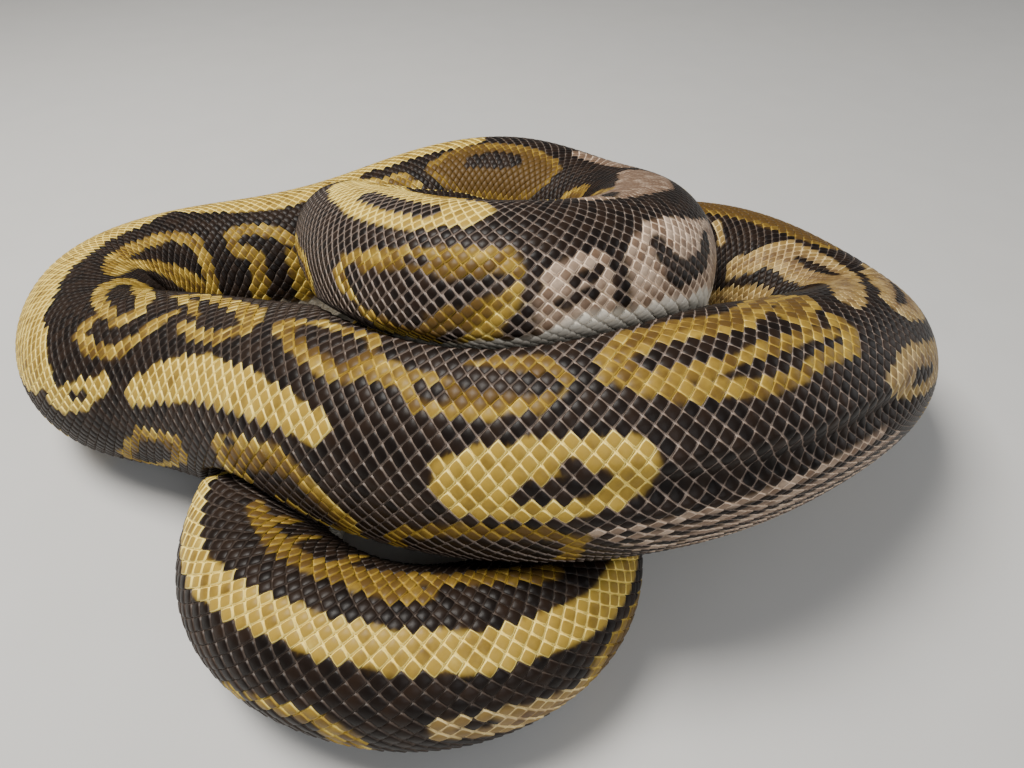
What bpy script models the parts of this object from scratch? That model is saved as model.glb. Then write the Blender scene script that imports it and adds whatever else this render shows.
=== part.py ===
"""A coiled ball python at life size, as a still museum model.

The body is one tube swept along a coil, from the snout in the middle of the coil
to the tail tip under it. Where two turns press on each other, both give way to a
shared face, and where the body meets the floor it lies flat. Thin cuts across the
body part it into lengths. Units in the tables are millimetres and degrees.
"""
import math

import bmesh
import bpy
import numpy as np
from mathutils import Vector

MODEL = "coiled_ball_python"
MM = 0.001

# The middle of the body from snout to tail tip: x, y, z and roll. Roll leans the
# back towards the outside of the coil.
ROUTE = (
    # head and neck, lying in the hollow of the coil
    (14, -8, 52, 0), (-4, 6, 52, 0), (-22, 19, 52, 0), (-36, 23, 51, 0),
    (-46, 16, 54, 4), (-47, 0, 60, 8),
    # upper turn, on top of the front
    (-38, -21, 66, 10), (-21, -42, 71, 9), (-1, -51, 73.5, 6), (19, -44, 70.5, 0),
    (34, -18, 61, -2), (36, 8, 52, 0), (25, 33, 44, 6),
    # down over the back and round the left
    (2, 50, 42.5, 10), (-26, 54, 37, 14), (-56, 46, 29, 18), (-86, 36, 25, 26),
    (-114, 25, 24.5, 38), (-129, 5, 24.5, 50), (-121, -17, 24.5, 56), (-97, -29, 28, 54),
    # across the front, over the tail loop
    (-70, -42, 34, 52), (-40, -60, 43, 53), (-3, -74, 49, 57), (34, -72, 51, 60),
    (64, -57, 46, 59), (88, -37, 37, 56),
    # up the right and inwards under the upper turn
    (102, -13, 26.5, 50), (96, 13, 22.5, 40), (76, 34, 22.5, 34), (50, 38, 22.5, 34),
    (22, 24, 22, 40), (-4, 8, 20.5, 45), (-28, -10, 20, 50), (-46, -34, 18.5, 55),
    # the loop in front, and back under the front
    (-60, -62, 18, 62), (-58, -92, 18, 57), (-36, -107, 18, 42), (-10, -108, 18, 36),
    (11, -94, 17, 46), (17, -72, 15, 54), (15, -50, 11.5, 40), (8, -32, 8, 20), (-2, -22, 4.5, 0),
)
# The coil's own centre on the floor, which becomes the part's origin.
COIL_CENTRE = (-14.15, -25.66)

# Half the body's thickness at distances from the snout.
GIRTH = (
    (0, 10), (56, 10.4), (80, 13.2), (104, 17.2), (135, 20.2), (165, 21.2), (205, 21.2),
    (250, 21.4), (290, 22), (340, 23.4), (390, 24.6), (440, 25.2), (510, 25.6), (560, 26.4),
    (610, 26.8), (660, 26.2), (700, 24.6), (740, 24), (800, 24), (860, 23.4), (920, 22.2),
    (960, 20.8), (1000, 19.8), (1060, 19.3), (1085, 18.4), (1110, 16.4), (1135, 13),
    (1160, 9), (1185, 4.5), (1200, 3),
)
GIRTH_BLEND = 24
# Head: along it, half width, height over and depth under its middle line.
HEAD_LENGTH = 50
HEAD_SHAPE = (
    (0.00, 0.0, 0.0, 0.0), (0.03, 4.8, 2.9, 2.8), (0.10, 7.4, 4.6, 4.2), (0.28, 9.7, 7.0, 5.8),
    (0.48, 12.4, 8.2, 6.8), (0.68, 15.0, 8.9, 7.6), (0.84, 14.4, 9.0, 8.0), (1.00, 11.9, 9.2, 8.6),
)
NECK_BLEND = 14
EYE_RADIUS = 2.7
EYE_ALONG = 15.0
EYE_OUT = 7.6
EYE_UP = 3.4

# Roundness of the section: higher is squarer.
SIDE_POWER = 2.1
BACK_POWER = 2.0
BELLY_POWER = 2.5
BELLY_DEPTH = 0.92
TAIL_TIP = 4

# Where each length ends, from the snout. The vent parts trunk and tail.
LENGTHS = (
    ("head", 54), ("neck", 126), ("trunk_01", 212), ("trunk_02", 300), ("trunk_03", 402),
    ("trunk_04", 524), ("trunk_05", 612), ("trunk_06", 700), ("trunk_07", 790),
    ("trunk_08", 880), ("trunk_09", 972), ("trunk_10", 1046), ("trunk_11", 1090), ("tail", None),
)
CUT = 0.4
# Turns that press on each other keep this gap, and two places count as different
# turns when they lie this many half thicknesses apart along the body.
CONTACT_GAP = 1.4
NEIGHBOUR = 2.6
SEARCH_GAP = 6
LEAST_SHARE = 0.1
HALVINGS = 16
# The inner side of a bend reaches this share of the bend's radius, and is drawn in
# smoothly from the second share of that.
BEND_LIMIT = 0.9
BEND_SOFT = 0.75
SIDES = 24
RING_STEP = 7.4
HEAD_RING_STEP = 3.0
SNOUT_RINGS = (0.5, 1.4)
TAIL_TIP_RINGS = (2.0, 0.7)
SKIN_ROUGHNESS = 0.35
EYE_ROUGHNESS = 0.08
EYE_SEGMENTS = (16, 10)

COLOURS = {
    "head": (0.060, 0.040, 0.026), "neck": (0.052, 0.036, 0.025), "trunk": (0.110, 0.075, 0.036),
    "tail": (0.280, 0.190, 0.075), "eye": (0.010, 0.008, 0.007),
}


def natural_spline(knots, values, at):
    """Values of the natural cubic spline through the knots."""
    step = np.diff(knots)
    slope = np.diff(values, axis=0) / step[:, None]
    count = len(knots)
    system = np.eye(count)
    right = np.zeros_like(values)
    for i in range(1, count - 1):
        system[i, i - 1:i + 2] = step[i - 1], 2 * (step[i - 1] + step[i]), step[i]
        right[i] = 6 * (slope[i] - slope[i - 1])
    bend = np.linalg.solve(system, right)
    span = np.clip(np.searchsorted(knots, at) - 1, 0, count - 2)
    a = ((knots[span + 1] - at) / step[span])[:, None]
    b = 1 - a
    curve = (a ** 3 - a) * bend[span] + (b ** 3 - b) * bend[span + 1]
    return a * values[span] + b * values[span + 1] + curve * (step[span] ** 2)[:, None] / 6


class Spine:
    """The middle line of the body, sampled at every millimetre of its length."""

    def __init__(self):
        stations = np.array(ROUTE, float)
        stations[:, :2] -= COIL_CENTRE
        chords = np.linalg.norm(np.diff(stations[:, :3], axis=0), axis=1)
        knots = np.concatenate(([0.0], np.cumsum(chords)))
        fine = natural_spline(knots, stations, np.linspace(0, knots[-1], int(knots[-1]) * 2))
        run = np.concatenate(([0.0], np.cumsum(np.linalg.norm(np.diff(fine[:, :3], axis=0), axis=1))))
        self.along = np.arange(0.0, run[-1])
        self.length = float(self.along[-1])
        sampled = np.stack([np.interp(self.along, run, column) for column in fine.T], 1)
        self.middle = sampled[:, :3]
        self.roll = np.radians(sampled[:, 3])
        self.forward = np.gradient(self.middle, axis=0)
        self.forward /= np.linalg.norm(self.forward, axis=1)[:, None]
        self.bend = np.gradient(self.forward, axis=0)
        kernel = np.ones(GIRTH_BLEND) / GIRTH_BLEND
        plain = np.interp(self.along, *np.array(GIRTH, float).T)
        padded = np.pad(plain, GIRTH_BLEND, mode="edge")
        self.girth = np.convolve(padded, kernel, "same")[GIRTH_BLEND:-GIRTH_BLEND]
        outward = np.cross(self.forward, (0.0, 0.0, 1.0))
        outward /= np.linalg.norm(outward, axis=1)[:, None]
        upward = np.cross(outward, self.forward)
        cosine, sine = np.cos(self.roll)[:, None], np.sin(self.roll)[:, None]
        self.back = cosine * upward + sine * outward
        self.side = np.cross(self.back, self.forward)

    def at(self, name, along):
        """One of the sampled quantities at a distance from the snout."""
        table = getattr(self, name)
        if table.ndim == 1:
            return float(np.interp(along, self.along, table))
        return np.array([np.interp(along, self.along, column) for column in table.T])


def half_sizes(spine, along):
    """Half width, height over and depth under the middle line at one place."""
    girth = spine.at("girth", along)
    girth *= math.sqrt(min(1.0, max(0.0, spine.length - along) / TAIL_TIP))
    body = np.array((girth, girth, girth * BELLY_DEPTH))
    if along >= HEAD_LENGTH + NECK_BLEND:
        return body
    place, *shape = np.array(HEAD_SHAPE).T
    reach = math.sqrt(min(1.0, along / HEAD_LENGTH))
    head = np.array([np.interp(reach, np.sqrt(place), row) for row in shape])
    share = max(0.0, along - HEAD_LENGTH) / NECK_BLEND
    share = share * share * (3 - 2 * share)
    return head * (1 - share) + body * share


def ring(spine, along):
    """Points of the body's outline at one place, before it meets anything."""
    width, height, depth = half_sizes(spine, along)
    angles = np.arange(SIDES) * (2 * math.pi / SIDES)
    sine, cosine = np.sin(angles), np.cos(angles)
    side = width * np.sign(sine) * np.abs(sine) ** (2 / SIDE_POWER)
    back = np.where(cosine >= 0, height * np.abs(cosine) ** (2 / BACK_POWER),
                    -depth * np.abs(cosine) ** (2 / BELLY_POWER))
    offset = side[:, None] * spine.at("side", along) + back[:, None] * spine.at("back", along)
    return fold_inside(offset, spine.at("bend", along))


def fold_inside(offset, bend):
    """Draw in the inner side of a tight bend, so that it folds and doesn't cross itself."""
    curvature = float(np.linalg.norm(bend))
    inward = bend / max(curvature, 1e-9)
    limit = BEND_LIMIT / max(curvature, 1e-9)
    reach = offset @ inward
    soft = limit * BEND_SOFT
    over = np.maximum(reach - soft, 0.0)
    drawn = (limit - soft) * np.tanh(over / (limit - soft))
    return offset + (drawn - over)[:, None] * inward


def press(spine, along, offset):
    """Shorten offsets so that turns which press on each other share one face."""
    middle, girth = spine.at("middle", along), spine.at("girth", along)
    apart = np.abs(spine.along - along) > NEIGHBOUR * np.maximum(spine.girth, girth)
    gaps = np.linalg.norm(spine.middle - middle, axis=1) - spine.girth - girth
    others = apart & (gaps < SEARCH_GAP)
    if not others.any():
        return offset
    centres, sizes = spine.middle[others], spine.girth[others]
    reach = np.linalg.norm(offset, axis=1)

    def crosses(share):
        points = middle + offset * share[:, None]
        distance = np.linalg.norm(points[:, None] - centres[None], axis=2) - CONTACT_GAP / 2
        return (distance / sizes).min(axis=1) < (reach * share + CONTACT_GAP / 2) / girth

    outer = np.ones(len(offset))
    meets = crosses(outer)
    inner = np.full(len(offset), LEAST_SHARE)
    for _ in range(HALVINGS):
        half = (inner + outer) / 2
        past = crosses(half)
        outer = np.where(past, half, outer)
        inner = np.where(past, inner, half)
    return offset * np.where(meets, inner, 1.0)[:, None]


def outline(spine, along):
    """Points of the body's outline at one place, pressed by its neighbours and the floor."""
    points = spine.at("middle", along) + press(spine, along, ring(spine, along))
    points[:, 2] = np.maximum(points[:, 2], 0.0)
    return points


def loft(name, spine, start, end):
    """One length of the body: rings from start to end, closed at both ends."""
    step = HEAD_RING_STEP if end <= HEAD_LENGTH + NECK_BLEND else RING_STEP
    count = max(3, round((end - start) / step) + 1)
    places = np.linspace(start, end, count)
    if start == 0:
        places = np.concatenate(([0.0], SNOUT_RINGS, places[1:]))
    if end == spine.length:
        places = np.concatenate((places[:-1], end - np.array(TAIL_TIP_RINGS), [end]))
    mesh = bmesh.new()
    rows = []
    for place in places:
        closed_tip = place in (0.0, spine.length)
        if closed_tip:
            tip = spine.at("middle", place)
            rows.append([mesh.verts.new(Vector(tip * MM))])
        else:
            rows.append([mesh.verts.new(Vector(point * MM)) for point in outline(spine, place)])
    for row, following in zip(rows, rows[1:]):
        for i in range(SIDES):
            j = (i + 1) % SIDES
            corners = [row[i % len(row)], row[j % len(row)], following[j % len(following)],
                       following[i % len(following)]]
            mesh.faces.new(list(dict.fromkeys(corners)))
    for row in (rows[0], rows[-1]):
        if len(row) > 1:
            hub = mesh.verts.new(Vector(np.mean([vert.co for vert in row], axis=0)))
            for i in range(SIDES):
                mesh.faces.new((row[i], row[(i + 1) % SIDES], hub))
    bmesh.ops.recalc_face_normals(mesh, faces=mesh.faces)
    data = bpy.data.meshes.new(name)
    mesh.to_mesh(data)
    mesh.free()
    data.shade_smooth()
    return bpy.data.objects.new(name, data)


def ball(name, centre, radius):
    """A round ball, for an eye or the socket that takes it."""
    mesh = bmesh.new()
    around, down = EYE_SEGMENTS
    bmesh.ops.create_uvsphere(mesh, u_segments=around, v_segments=down, radius=radius * MM)
    data = bpy.data.meshes.new(name)
    mesh.to_mesh(data)
    mesh.free()
    data.shade_smooth()
    made = bpy.data.objects.new(name, data)
    made.location = Vector(centre) * MM
    return made


def finish(name, colour, roughness):
    """A plain colour with the gloss of scales or of an eye."""
    material = bpy.data.materials.new(name)
    material.use_nodes = True
    shader = material.node_tree.nodes["Principled BSDF"]
    shader.inputs["Base Color"].default_value = (*colour, 1.0)
    shader.inputs["Roughness"].default_value = roughness
    shader.inputs["Metallic"].default_value = 0.0
    return material


def add_eyes(spine, head, parts, cutters):
    """Two eyes, each in a socket cut out of the side of the head."""
    middle, side, back = (spine.at(name, EYE_ALONG) for name in ("middle", "side", "back"))
    for name, sign in (("eye_left", -1), ("eye_right", 1)):
        centre = middle + sign * EYE_OUT * side + EYE_UP * back
        eye = ball(name, centre, EYE_RADIUS)
        eye.data.materials.append(finish(name, COLOURS["eye"], EYE_ROUGHNESS))
        parts.objects.link(eye)
        socket = ball("socket_" + name, centre, EYE_RADIUS + CUT)
        socket.hide_render = True
        socket.display_type = "WIRE"
        cutters.objects.link(socket)
        cut = head.modifiers.new("Socket", "BOOLEAN")
        cut.operation = "DIFFERENCE"
        cut.object = socket


def build():
    """Model the whole snake."""
    for old in list(bpy.data.objects):
        bpy.data.objects.remove(old)
    parts = bpy.data.collections.new(MODEL)
    cutters = bpy.data.collections.new("cutters")
    for collection in (parts, cutters):
        bpy.context.scene.collection.children.link(collection)
    spine = Spine()
    start = 0.0
    for name, end in LENGTHS:
        end = spine.length if end is None else end
        length = loft(name, spine, start + (CUT / 2 if start else 0.0),
                      end - (CUT / 2 if end < spine.length else 0.0))
        length.data.materials.append(finish(name, COLOURS[name.split("_")[0]], SKIN_ROUGHNESS))
        parts.objects.link(length)
        if name == "head":
            add_eyes(spine, length, parts, cutters)
        start = end


build()
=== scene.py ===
"""A coiled ball python at life size, as a still museum model.

One skin covers the whole body, and every scale is a small solid plate laid over it:
rows of smooth scales along the back and sides, broad scutes under the belly, and
plates round the lips, eyes and snout of the head. Skin and scales take their
markings from the same description. Lengths are millimetres and angles are degrees
from the middle of the back, until a mesh is written in metres.
"""
import logging
import math
from dataclasses import dataclass
from enum import Enum
from typing import Callable

import bmesh
import bpy
import numpy as np
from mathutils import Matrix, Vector
from mathutils.bvhtree import BVHTree


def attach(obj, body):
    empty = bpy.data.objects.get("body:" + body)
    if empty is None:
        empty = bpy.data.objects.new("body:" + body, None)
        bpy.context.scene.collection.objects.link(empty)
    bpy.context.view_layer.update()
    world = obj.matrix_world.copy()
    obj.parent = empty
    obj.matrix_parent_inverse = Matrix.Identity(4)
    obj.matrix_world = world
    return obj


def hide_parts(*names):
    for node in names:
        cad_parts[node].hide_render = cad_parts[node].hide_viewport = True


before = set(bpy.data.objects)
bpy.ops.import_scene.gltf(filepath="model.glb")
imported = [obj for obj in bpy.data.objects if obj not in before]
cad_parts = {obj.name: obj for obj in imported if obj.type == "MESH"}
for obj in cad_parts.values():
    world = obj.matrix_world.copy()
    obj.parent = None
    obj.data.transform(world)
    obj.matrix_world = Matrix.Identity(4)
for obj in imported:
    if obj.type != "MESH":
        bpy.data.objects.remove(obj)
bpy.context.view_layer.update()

LOG = logging.getLogger("python")
MM = 0.001
# Stand-ins for nothing and for out of reach.
TINY = 1e-9
FAR = 1e3

Array = np.ndarray
Colour = tuple[float, float, float]
Places = tuple[tuple[float, ...], ...]

# The middle of the body from snout to tail tip: x, y, z and roll. Roll leans the
# back towards the outside of the coil.
ROUTE = (
    # head and neck, lying in the hollow of the coil
    (14, -8, 52, 0), (-4, 6, 52, 0), (-22, 19, 52, 0), (-36, 23, 51, 0),
    (-46, 16, 54, 4), (-47, 0, 60, 8),
    # upper turn, on top of the front
    (-38, -21, 66, 10), (-21, -42, 71, 9), (-1, -51, 73.5, 6), (19, -44, 70.5, 0),
    (34, -18, 61, -2), (36, 8, 52, 0), (25, 33, 44, 6),
    # down over the back and round the left
    (2, 50, 42.5, 10), (-26, 54, 37, 14), (-56, 46, 29, 18), (-86, 36, 25, 26),
    (-114, 25, 24.5, 38), (-129, 5, 24.5, 50), (-121, -17, 24.5, 56), (-97, -29, 28, 54),
    # across the front, over the tail loop
    (-70, -42, 34, 52), (-40, -60, 43, 53), (-3, -74, 49, 57), (34, -72, 51, 60),
    (64, -57, 46, 59), (88, -37, 37, 56),
    # up the right and inwards under the upper turn
    (102, -13, 26.5, 50), (96, 13, 22.5, 40), (76, 34, 22.5, 34), (50, 38, 22.5, 34),
    (22, 24, 22, 40), (-4, 8, 20.5, 45), (-28, -10, 20, 50), (-46, -34, 18.5, 55),
    # the loop in front, and back under the front
    (-60, -62, 18, 62), (-58, -92, 18, 57), (-36, -107, 18, 42), (-10, -108, 18, 36),
    (11, -94, 17, 46), (17, -72, 15, 54), (15, -50, 11.5, 40), (8, -32, 8, 20), (-2, -22, 4.5, 0),
)
COIL_CENTRE = (-14.15, -25.66)
# Half the body's thickness at distances from the snout.
GIRTH = (
    (0, 10), (56, 10.4), (80, 13.2), (104, 17.2), (135, 20.2), (165, 21.2), (205, 21.2),
    (250, 21.4), (290, 22), (340, 23.4), (390, 24.6), (440, 25.2), (510, 25.6), (560, 26.4),
    (610, 26.8), (660, 26.2), (700, 24.6), (740, 24), (800, 24), (860, 23.4), (920, 22.2),
    (960, 20.8), (1000, 19.8), (1060, 19.3), (1085, 18.4), (1110, 16.4), (1135, 13),
    (1160, 9), (1185, 4.5), (1200, 3),
)
# Head: along it, half width, height over and depth under its middle line.
HEAD_LENGTH = 50
HEAD_SHAPE = (
    (0.00, 0.0, 0.0, 0.0), (0.03, 4.8, 2.9, 2.8), (0.10, 7.4, 4.6, 4.2), (0.28, 9.7, 7.0, 5.8),
    (0.48, 12.4, 8.2, 6.8), (0.68, 15.0, 8.9, 8.6), (0.84, 14.4, 9.0, 8.0), (1.00, 11.9, 9.2, 8.6),
)
# Powers of the outline's side, back and belly, and the belly's depth as a share of the height.
SIDE_POWER, BACK_POWER, BELLY_POWER = 2.1, 2.0, 2.5
BELLY_DEPTH = 0.92
# Lengths over which the girth is evened out, the head turns into the neck and the tail rounds off.
GIRTH_BLEND = 24
NECK_BLEND = 14
TAIL_TIP = 4
# Turns that press on each other: the gap between them, how far along the body they have to be
# apart, in girths, and how near they have to come.
CONTACT_GAP = 1.4
NEIGHBOUR = 2.6
SEARCH_GAP = 6
# The least share that an outline is drawn in to, and how often the range is halved to find it.
LEAST_SHARE = 0.1
HALVINGS = 12
# How near the inside of a bend comes to the bend's own centre, and where it starts to draw in.
BEND_LIMIT = 0.9
BEND_SOFT = 0.75
# The crease along the front's right: its strength, then angle, breadth and height of its hollow and ridge.
FOLD = ((622, 0.0), (645, 1.0), (690, 1.0), (716, 0.0))
FOLD_FORMS = ((-9.0, 7.0, -2.6), (4.0, 5.0, 0.8))


def smooth(low: float, high: float, value: Array) -> Array:
    """A smooth step.

    Args:
        low: Where the step starts.
        high: Where it ends, which may be lower than low.
        value: Where it is read.

    Returns:
        0 before low, 1 past high and a smooth rise between them.
    """
    share = np.clip((np.asarray(value, float) - low) / (high - low), 0.0, 1.0)
    return share * share * (3 - 2 * share)


def bump(value: Array, broad: float) -> Array:
    """Return 1 where the value is 0, falling away over a breadth on both sides."""
    return np.exp(-(value / broad) ** 2)


def read(table: Places, at: Array) -> Array:
    """Return the values of a table of places and values, at places between them."""
    return np.interp(at, *np.array(table, float).T)


def read_rows(at: Array, knots: Array, table: Array) -> Array:
    """Return rows of a table that has one row for each knot, at places between the knots."""
    return np.stack([np.interp(at, knots, column) for column in table.T], -1)


def running(steps: Array) -> Array:
    """Return the running total of some steps, from 0."""
    return np.concatenate(([0.0], np.cumsum(steps)))


def lengths(rows: Array) -> Array:
    """Return the distances between points that follow one another."""
    return np.linalg.norm(np.diff(rows, axis=0), axis=1)


def unit(vectors: Array) -> Array:
    """Return vectors drawn to a length of 1."""
    return vectors / np.maximum(np.linalg.norm(vectors, axis=-1, keepdims=True), TINY)


def channels(*values: Array | float) -> Array:
    """Return values side by side, as the channels of each point."""
    return np.stack(np.broadcast_arrays(*values), -1)


def blend(table: Array, row: Array, down: Array, column: Array, over: Array) -> Array:
    """Read a table between its rows and columns.

    Args:
        table: Values by row and column.
        row: The rows before the places.
        down: How far each place lies between its row and the next.
        column: The columns before the places.
        over: How far each lies between its column and the next.

    Returns:
        The value at each place.
    """
    upper = table[row, column] * (1 - over) + table[row, column + 1] * over
    lower = table[row + 1, column] * (1 - over) + table[row + 1, column + 1] * over
    return upper * (1 - down) + lower * down


def natural_spline(knots: Array, values: Array, at: Array) -> Array:
    """Values of the natural cubic spline through the knots.

    Args:
        knots: Rising places of the knots.
        values: One row of values for each knot.
        at: Where the spline is read.

    Returns:
        One row of values for each place read.
    """
    step = np.diff(knots)
    slope = np.diff(values, axis=0) / step[:, None]
    count = len(knots)
    system = np.eye(count)
    right = np.zeros_like(values)
    for i in range(1, count - 1):
        system[i, i - 1:i + 2] = step[i - 1], 2 * (step[i - 1] + step[i]), step[i]
        right[i] = 6 * (slope[i] - slope[i - 1])
    bend = np.linalg.solve(system, right)
    span = np.clip(np.searchsorted(knots, at) - 1, 0, count - 2)
    a = ((knots[span + 1] - at) / step[span])[:, None]
    b = 1 - a
    curve = (a ** 3 - a) * bend[span] + (b ** 3 - b) * bend[span + 1]
    return a * values[span] + b * values[span + 1] + curve * (step[span] ** 2)[:, None] / 6


class Spine:
    """The middle line of the body, sampled at every millimetre of its length."""

    def __init__(self) -> None:
        """Work out the line, its directions and the body's thickness along it."""
        stations = np.array(ROUTE, float)
        stations[:, :2] -= COIL_CENTRE
        knots = running(lengths(stations[:, :3]))
        fine = natural_spline(knots, stations, np.linspace(0, knots[-1], int(knots[-1]) * 2))
        run = running(lengths(fine[:, :3]))
        self.along = np.arange(0.0, run[-1])
        self.length = float(self.along[-1])
        sampled = read_rows(self.along, run, fine)
        self.middle = sampled[:, :3]
        roll = np.radians(sampled[:, 3])[:, None]
        self.forward = unit(np.gradient(self.middle, axis=0))
        self.bend = np.gradient(self.forward, axis=0)
        padded = np.pad(read(GIRTH, self.along), GIRTH_BLEND, mode="edge")
        kernel = np.ones(GIRTH_BLEND) / GIRTH_BLEND
        self.girth = np.convolve(padded, kernel, "same")[GIRTH_BLEND:-GIRTH_BLEND]
        outward = unit(np.cross(self.forward, (0.0, 0.0, 1.0)))
        upward = np.cross(outward, self.forward)
        self.back = np.cos(roll) * upward + np.sin(roll) * outward
        self.side = np.cross(self.back, self.forward)

    def at(self, name: str, along: Array) -> Array:
        """Read one of the sampled quantities.

        Args:
            name: The quantity's attribute.
            along: Distances from the snout.

        Returns:
            One value, or one row of three, for each distance.
        """
        table = getattr(self, name)
        if table.ndim == 1:
            return np.interp(along, self.along, table)
        return read_rows(along, self.along, table)

    def ways(self, along: Array | float, *names: str) -> tuple[Array, ...]:
        """Return several of the sampled quantities at distances from the snout."""
        return tuple(self.at(name, along) for name in names)

    def half_sizes(self, along: float) -> tuple[float, float, float]:
        """Size the body's outline at one place.

        Args:
            along: Distance from the snout.

        Returns:
            The half width, the height over the middle line and the depth under it.
        """
        girth = float(self.at("girth", along))
        girth *= math.sqrt(min(1.0, max(0.0, self.length - along) / TAIL_TIP))
        body = np.array((girth, girth, girth * BELLY_DEPTH))
        if along >= HEAD_LENGTH + NECK_BLEND:
            return tuple(body)
        place, *shape = np.array(HEAD_SHAPE).T
        reach = math.sqrt(min(1.0, along / HEAD_LENGTH))
        head = np.array([np.interp(reach, np.sqrt(place), row) for row in shape])
        share = float(smooth(HEAD_LENGTH, HEAD_LENGTH + NECK_BLEND, along))
        return tuple(head * (1 - share) + body * share)


class Surface:
    """The body's outer surface, as a table over distance from the snout and angle from the back."""

    # Columns round the body, then rows along it: at the snout, at even steps along the head and
    # the body, and at distances before the tail's end.
    columns = 144
    snout = (0.0, 0.12, 0.3, 0.6, 1.0)
    head_start = 1.5
    head_step = 0.5
    head_end = 62.0
    body_step = 1.0
    tail = (4.0, 2.6, 1.6, 0.9, 0.4, 0.15, 0.0)

    def __init__(self, spine: Spine) -> None:
        """Work out the table.

        Args:
            spine: The middle line that the surface goes round.
        """
        self.spine = spine
        body_end = spine.length - self.tail[0] - self.body_step / 2
        self.along = np.concatenate((self.snout, np.arange(self.head_start, self.head_end, self.head_step),
                                     np.arange(self.head_end, body_end, self.body_step),
                                     spine.length - np.array(self.tail)))
        self.angles = np.linspace(-180.0, 180.0, self.columns + 1)
        turn = np.radians(self.angles[:-1])
        self.sine, self.cosine = np.sin(turn), np.cos(turn)
        rings = np.array([self._outline(float(place)) for place in self.along])
        rings[:, :, 2] = np.maximum(rings[:, :, 2], 0.0)
        self.points = np.concatenate((rings, rings[:, :1]), axis=1)
        self.normals = self._find_normals()
        share = smooth(0, 1, read(FOLD, self.along))[:, None, None]
        for angle, broad, high in FOLD_FORMS:
            form = high * bump(self.angles - angle, broad)
            self.points = self.points + share * form[None, :, None] * self.normals
        self.normals = self._find_normals()

    def _outline(self, along: float) -> Array:
        """Draw the body's outline at one place.

        Args:
            along: Distance from the snout.

        Returns:
            The outline's points, from the belly round by the outer side.
        """
        spine = self.spine
        width, height, depth = spine.half_sizes(along)
        side = width * np.sign(self.sine) * np.abs(self.sine) ** (2 / SIDE_POWER)
        back = np.where(self.cosine >= 0, height * np.abs(self.cosine) ** (2 / BACK_POWER),
                        -depth * np.abs(self.cosine) ** (2 / BELLY_POWER))
        offset = side[:, None] * spine.at("side", along) + back[:, None] * spine.at("back", along)
        offset = self._fold_inside(offset, spine.at("bend", along))
        return spine.at("middle", along) + self._press(along, offset)

    @staticmethod
    def _fold_inside(offset: Array, bend: Array) -> Array:
        """Draw in the inner side of a tight bend.

        Args:
            offset: Points of an outline, from the middle line.
            bend: How the middle line bends there.

        Returns:
            The points, with none past the bend's own centre.
        """
        curvature = max(float(np.linalg.norm(bend)), TINY)
        inward = bend / curvature
        limit = BEND_LIMIT / curvature
        soft = limit * BEND_SOFT
        over = np.maximum(offset @ inward - soft, 0.0)
        drawn = (limit - soft) * np.tanh(over / (limit - soft))
        return offset + (drawn - over)[:, None] * inward

    def _press(self, along: float, offset: Array) -> Array:
        """Shorten offsets so that turns which press on each other share one face.

        Args:
            along: Distance from the snout.
            offset: Points of the outline there, from the middle line.

        Returns:
            The points, drawn in where another turn presses.
        """
        spine = self.spine
        middle, girth = spine.at("middle", along), float(spine.at("girth", along))
        apart = np.abs(spine.along - along) > NEIGHBOUR * np.maximum(spine.girth, girth)
        gaps = np.linalg.norm(spine.middle - middle, axis=1) - spine.girth - girth
        others = apart & (gaps < SEARCH_GAP)
        if not others.any():
            return offset
        centres, sizes = spine.middle[others][::2], spine.girth[others][::2]
        reach = np.linalg.norm(offset, axis=1)

        def crosses(share: Array) -> Array:
            """Return which of the shortened points are nearer to another turn."""
            points = middle + offset * share[:, None]
            distance = np.linalg.norm(points[:, None] - centres[None], axis=2) - CONTACT_GAP / 2
            return (distance / sizes).min(axis=1) < (reach * share + CONTACT_GAP / 2) / girth

        outer = np.ones(len(offset))
        meets = crosses(outer)
        inner = np.full(len(offset), LEAST_SHARE)
        for _ in range(HALVINGS if meets.any() else 0):
            half = (inner + outer) / 2
            past = crosses(half)
            outer = np.where(past, half, outer)
            inner = np.where(past, inner, half)
        return offset * np.where(meets, inner, 1.0)[:, None]

    def _find_normals(self) -> Array:
        """Find the outward directions.

        Returns:
            One direction for every point of the table.
        """
        ring = self.points[:, :-1]
        around = np.roll(ring, -1, axis=1) - np.roll(ring, 1, axis=1)
        around = np.concatenate((around, around[:, :1]), axis=1)
        normals = unit(np.cross(np.gradient(self.points, axis=0), around))
        normals[0] = -self.spine.forward[0]
        normals[-1] = self.spine.forward[-1]
        return normals

    def rows_at(self, along: Array) -> tuple[Array, Array]:
        """Return the rows before some distances, and how far each lies between its row and the next."""
        row = np.clip(np.searchsorted(self.along, along, side="right") - 1, 0, len(self.along) - 2)
        return row, (along - self.along[row]) / (self.along[row + 1] - self.along[row])

    def lookup(self, table: Array, along: Array, angle: Array) -> Array:
        """Read a table between its rows and columns.

        Args:
            table: Values for every row and column of the surface.
            along: Distances from the snout.
            angle: Angles from the back.

        Returns:
            The value at each place.
        """
        row, down = self.rows_at(np.clip(along, self.along[0], self.along[-1]))
        place = ((angle + 180.0) % 360.0) / 360.0 * self.columns
        column = np.minimum(place.astype(int), self.columns - 1)
        over = place - column
        if table.ndim == 3:
            down, over = down[..., None], over[..., None]
        return blend(table, row, down, column, over)

    def place(self, along: Array, angle: Array, height: Array | float = 0.0) -> Array:
        """Return points that stand a height over the surface, at distances along and angles round it."""
        normal = unit(self.lookup(self.normals, along, angle))
        return self.lookup(self.points, along, angle) + normal * np.asarray(height)[..., None]


# ---------------------------------------------------------------- markings


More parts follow.
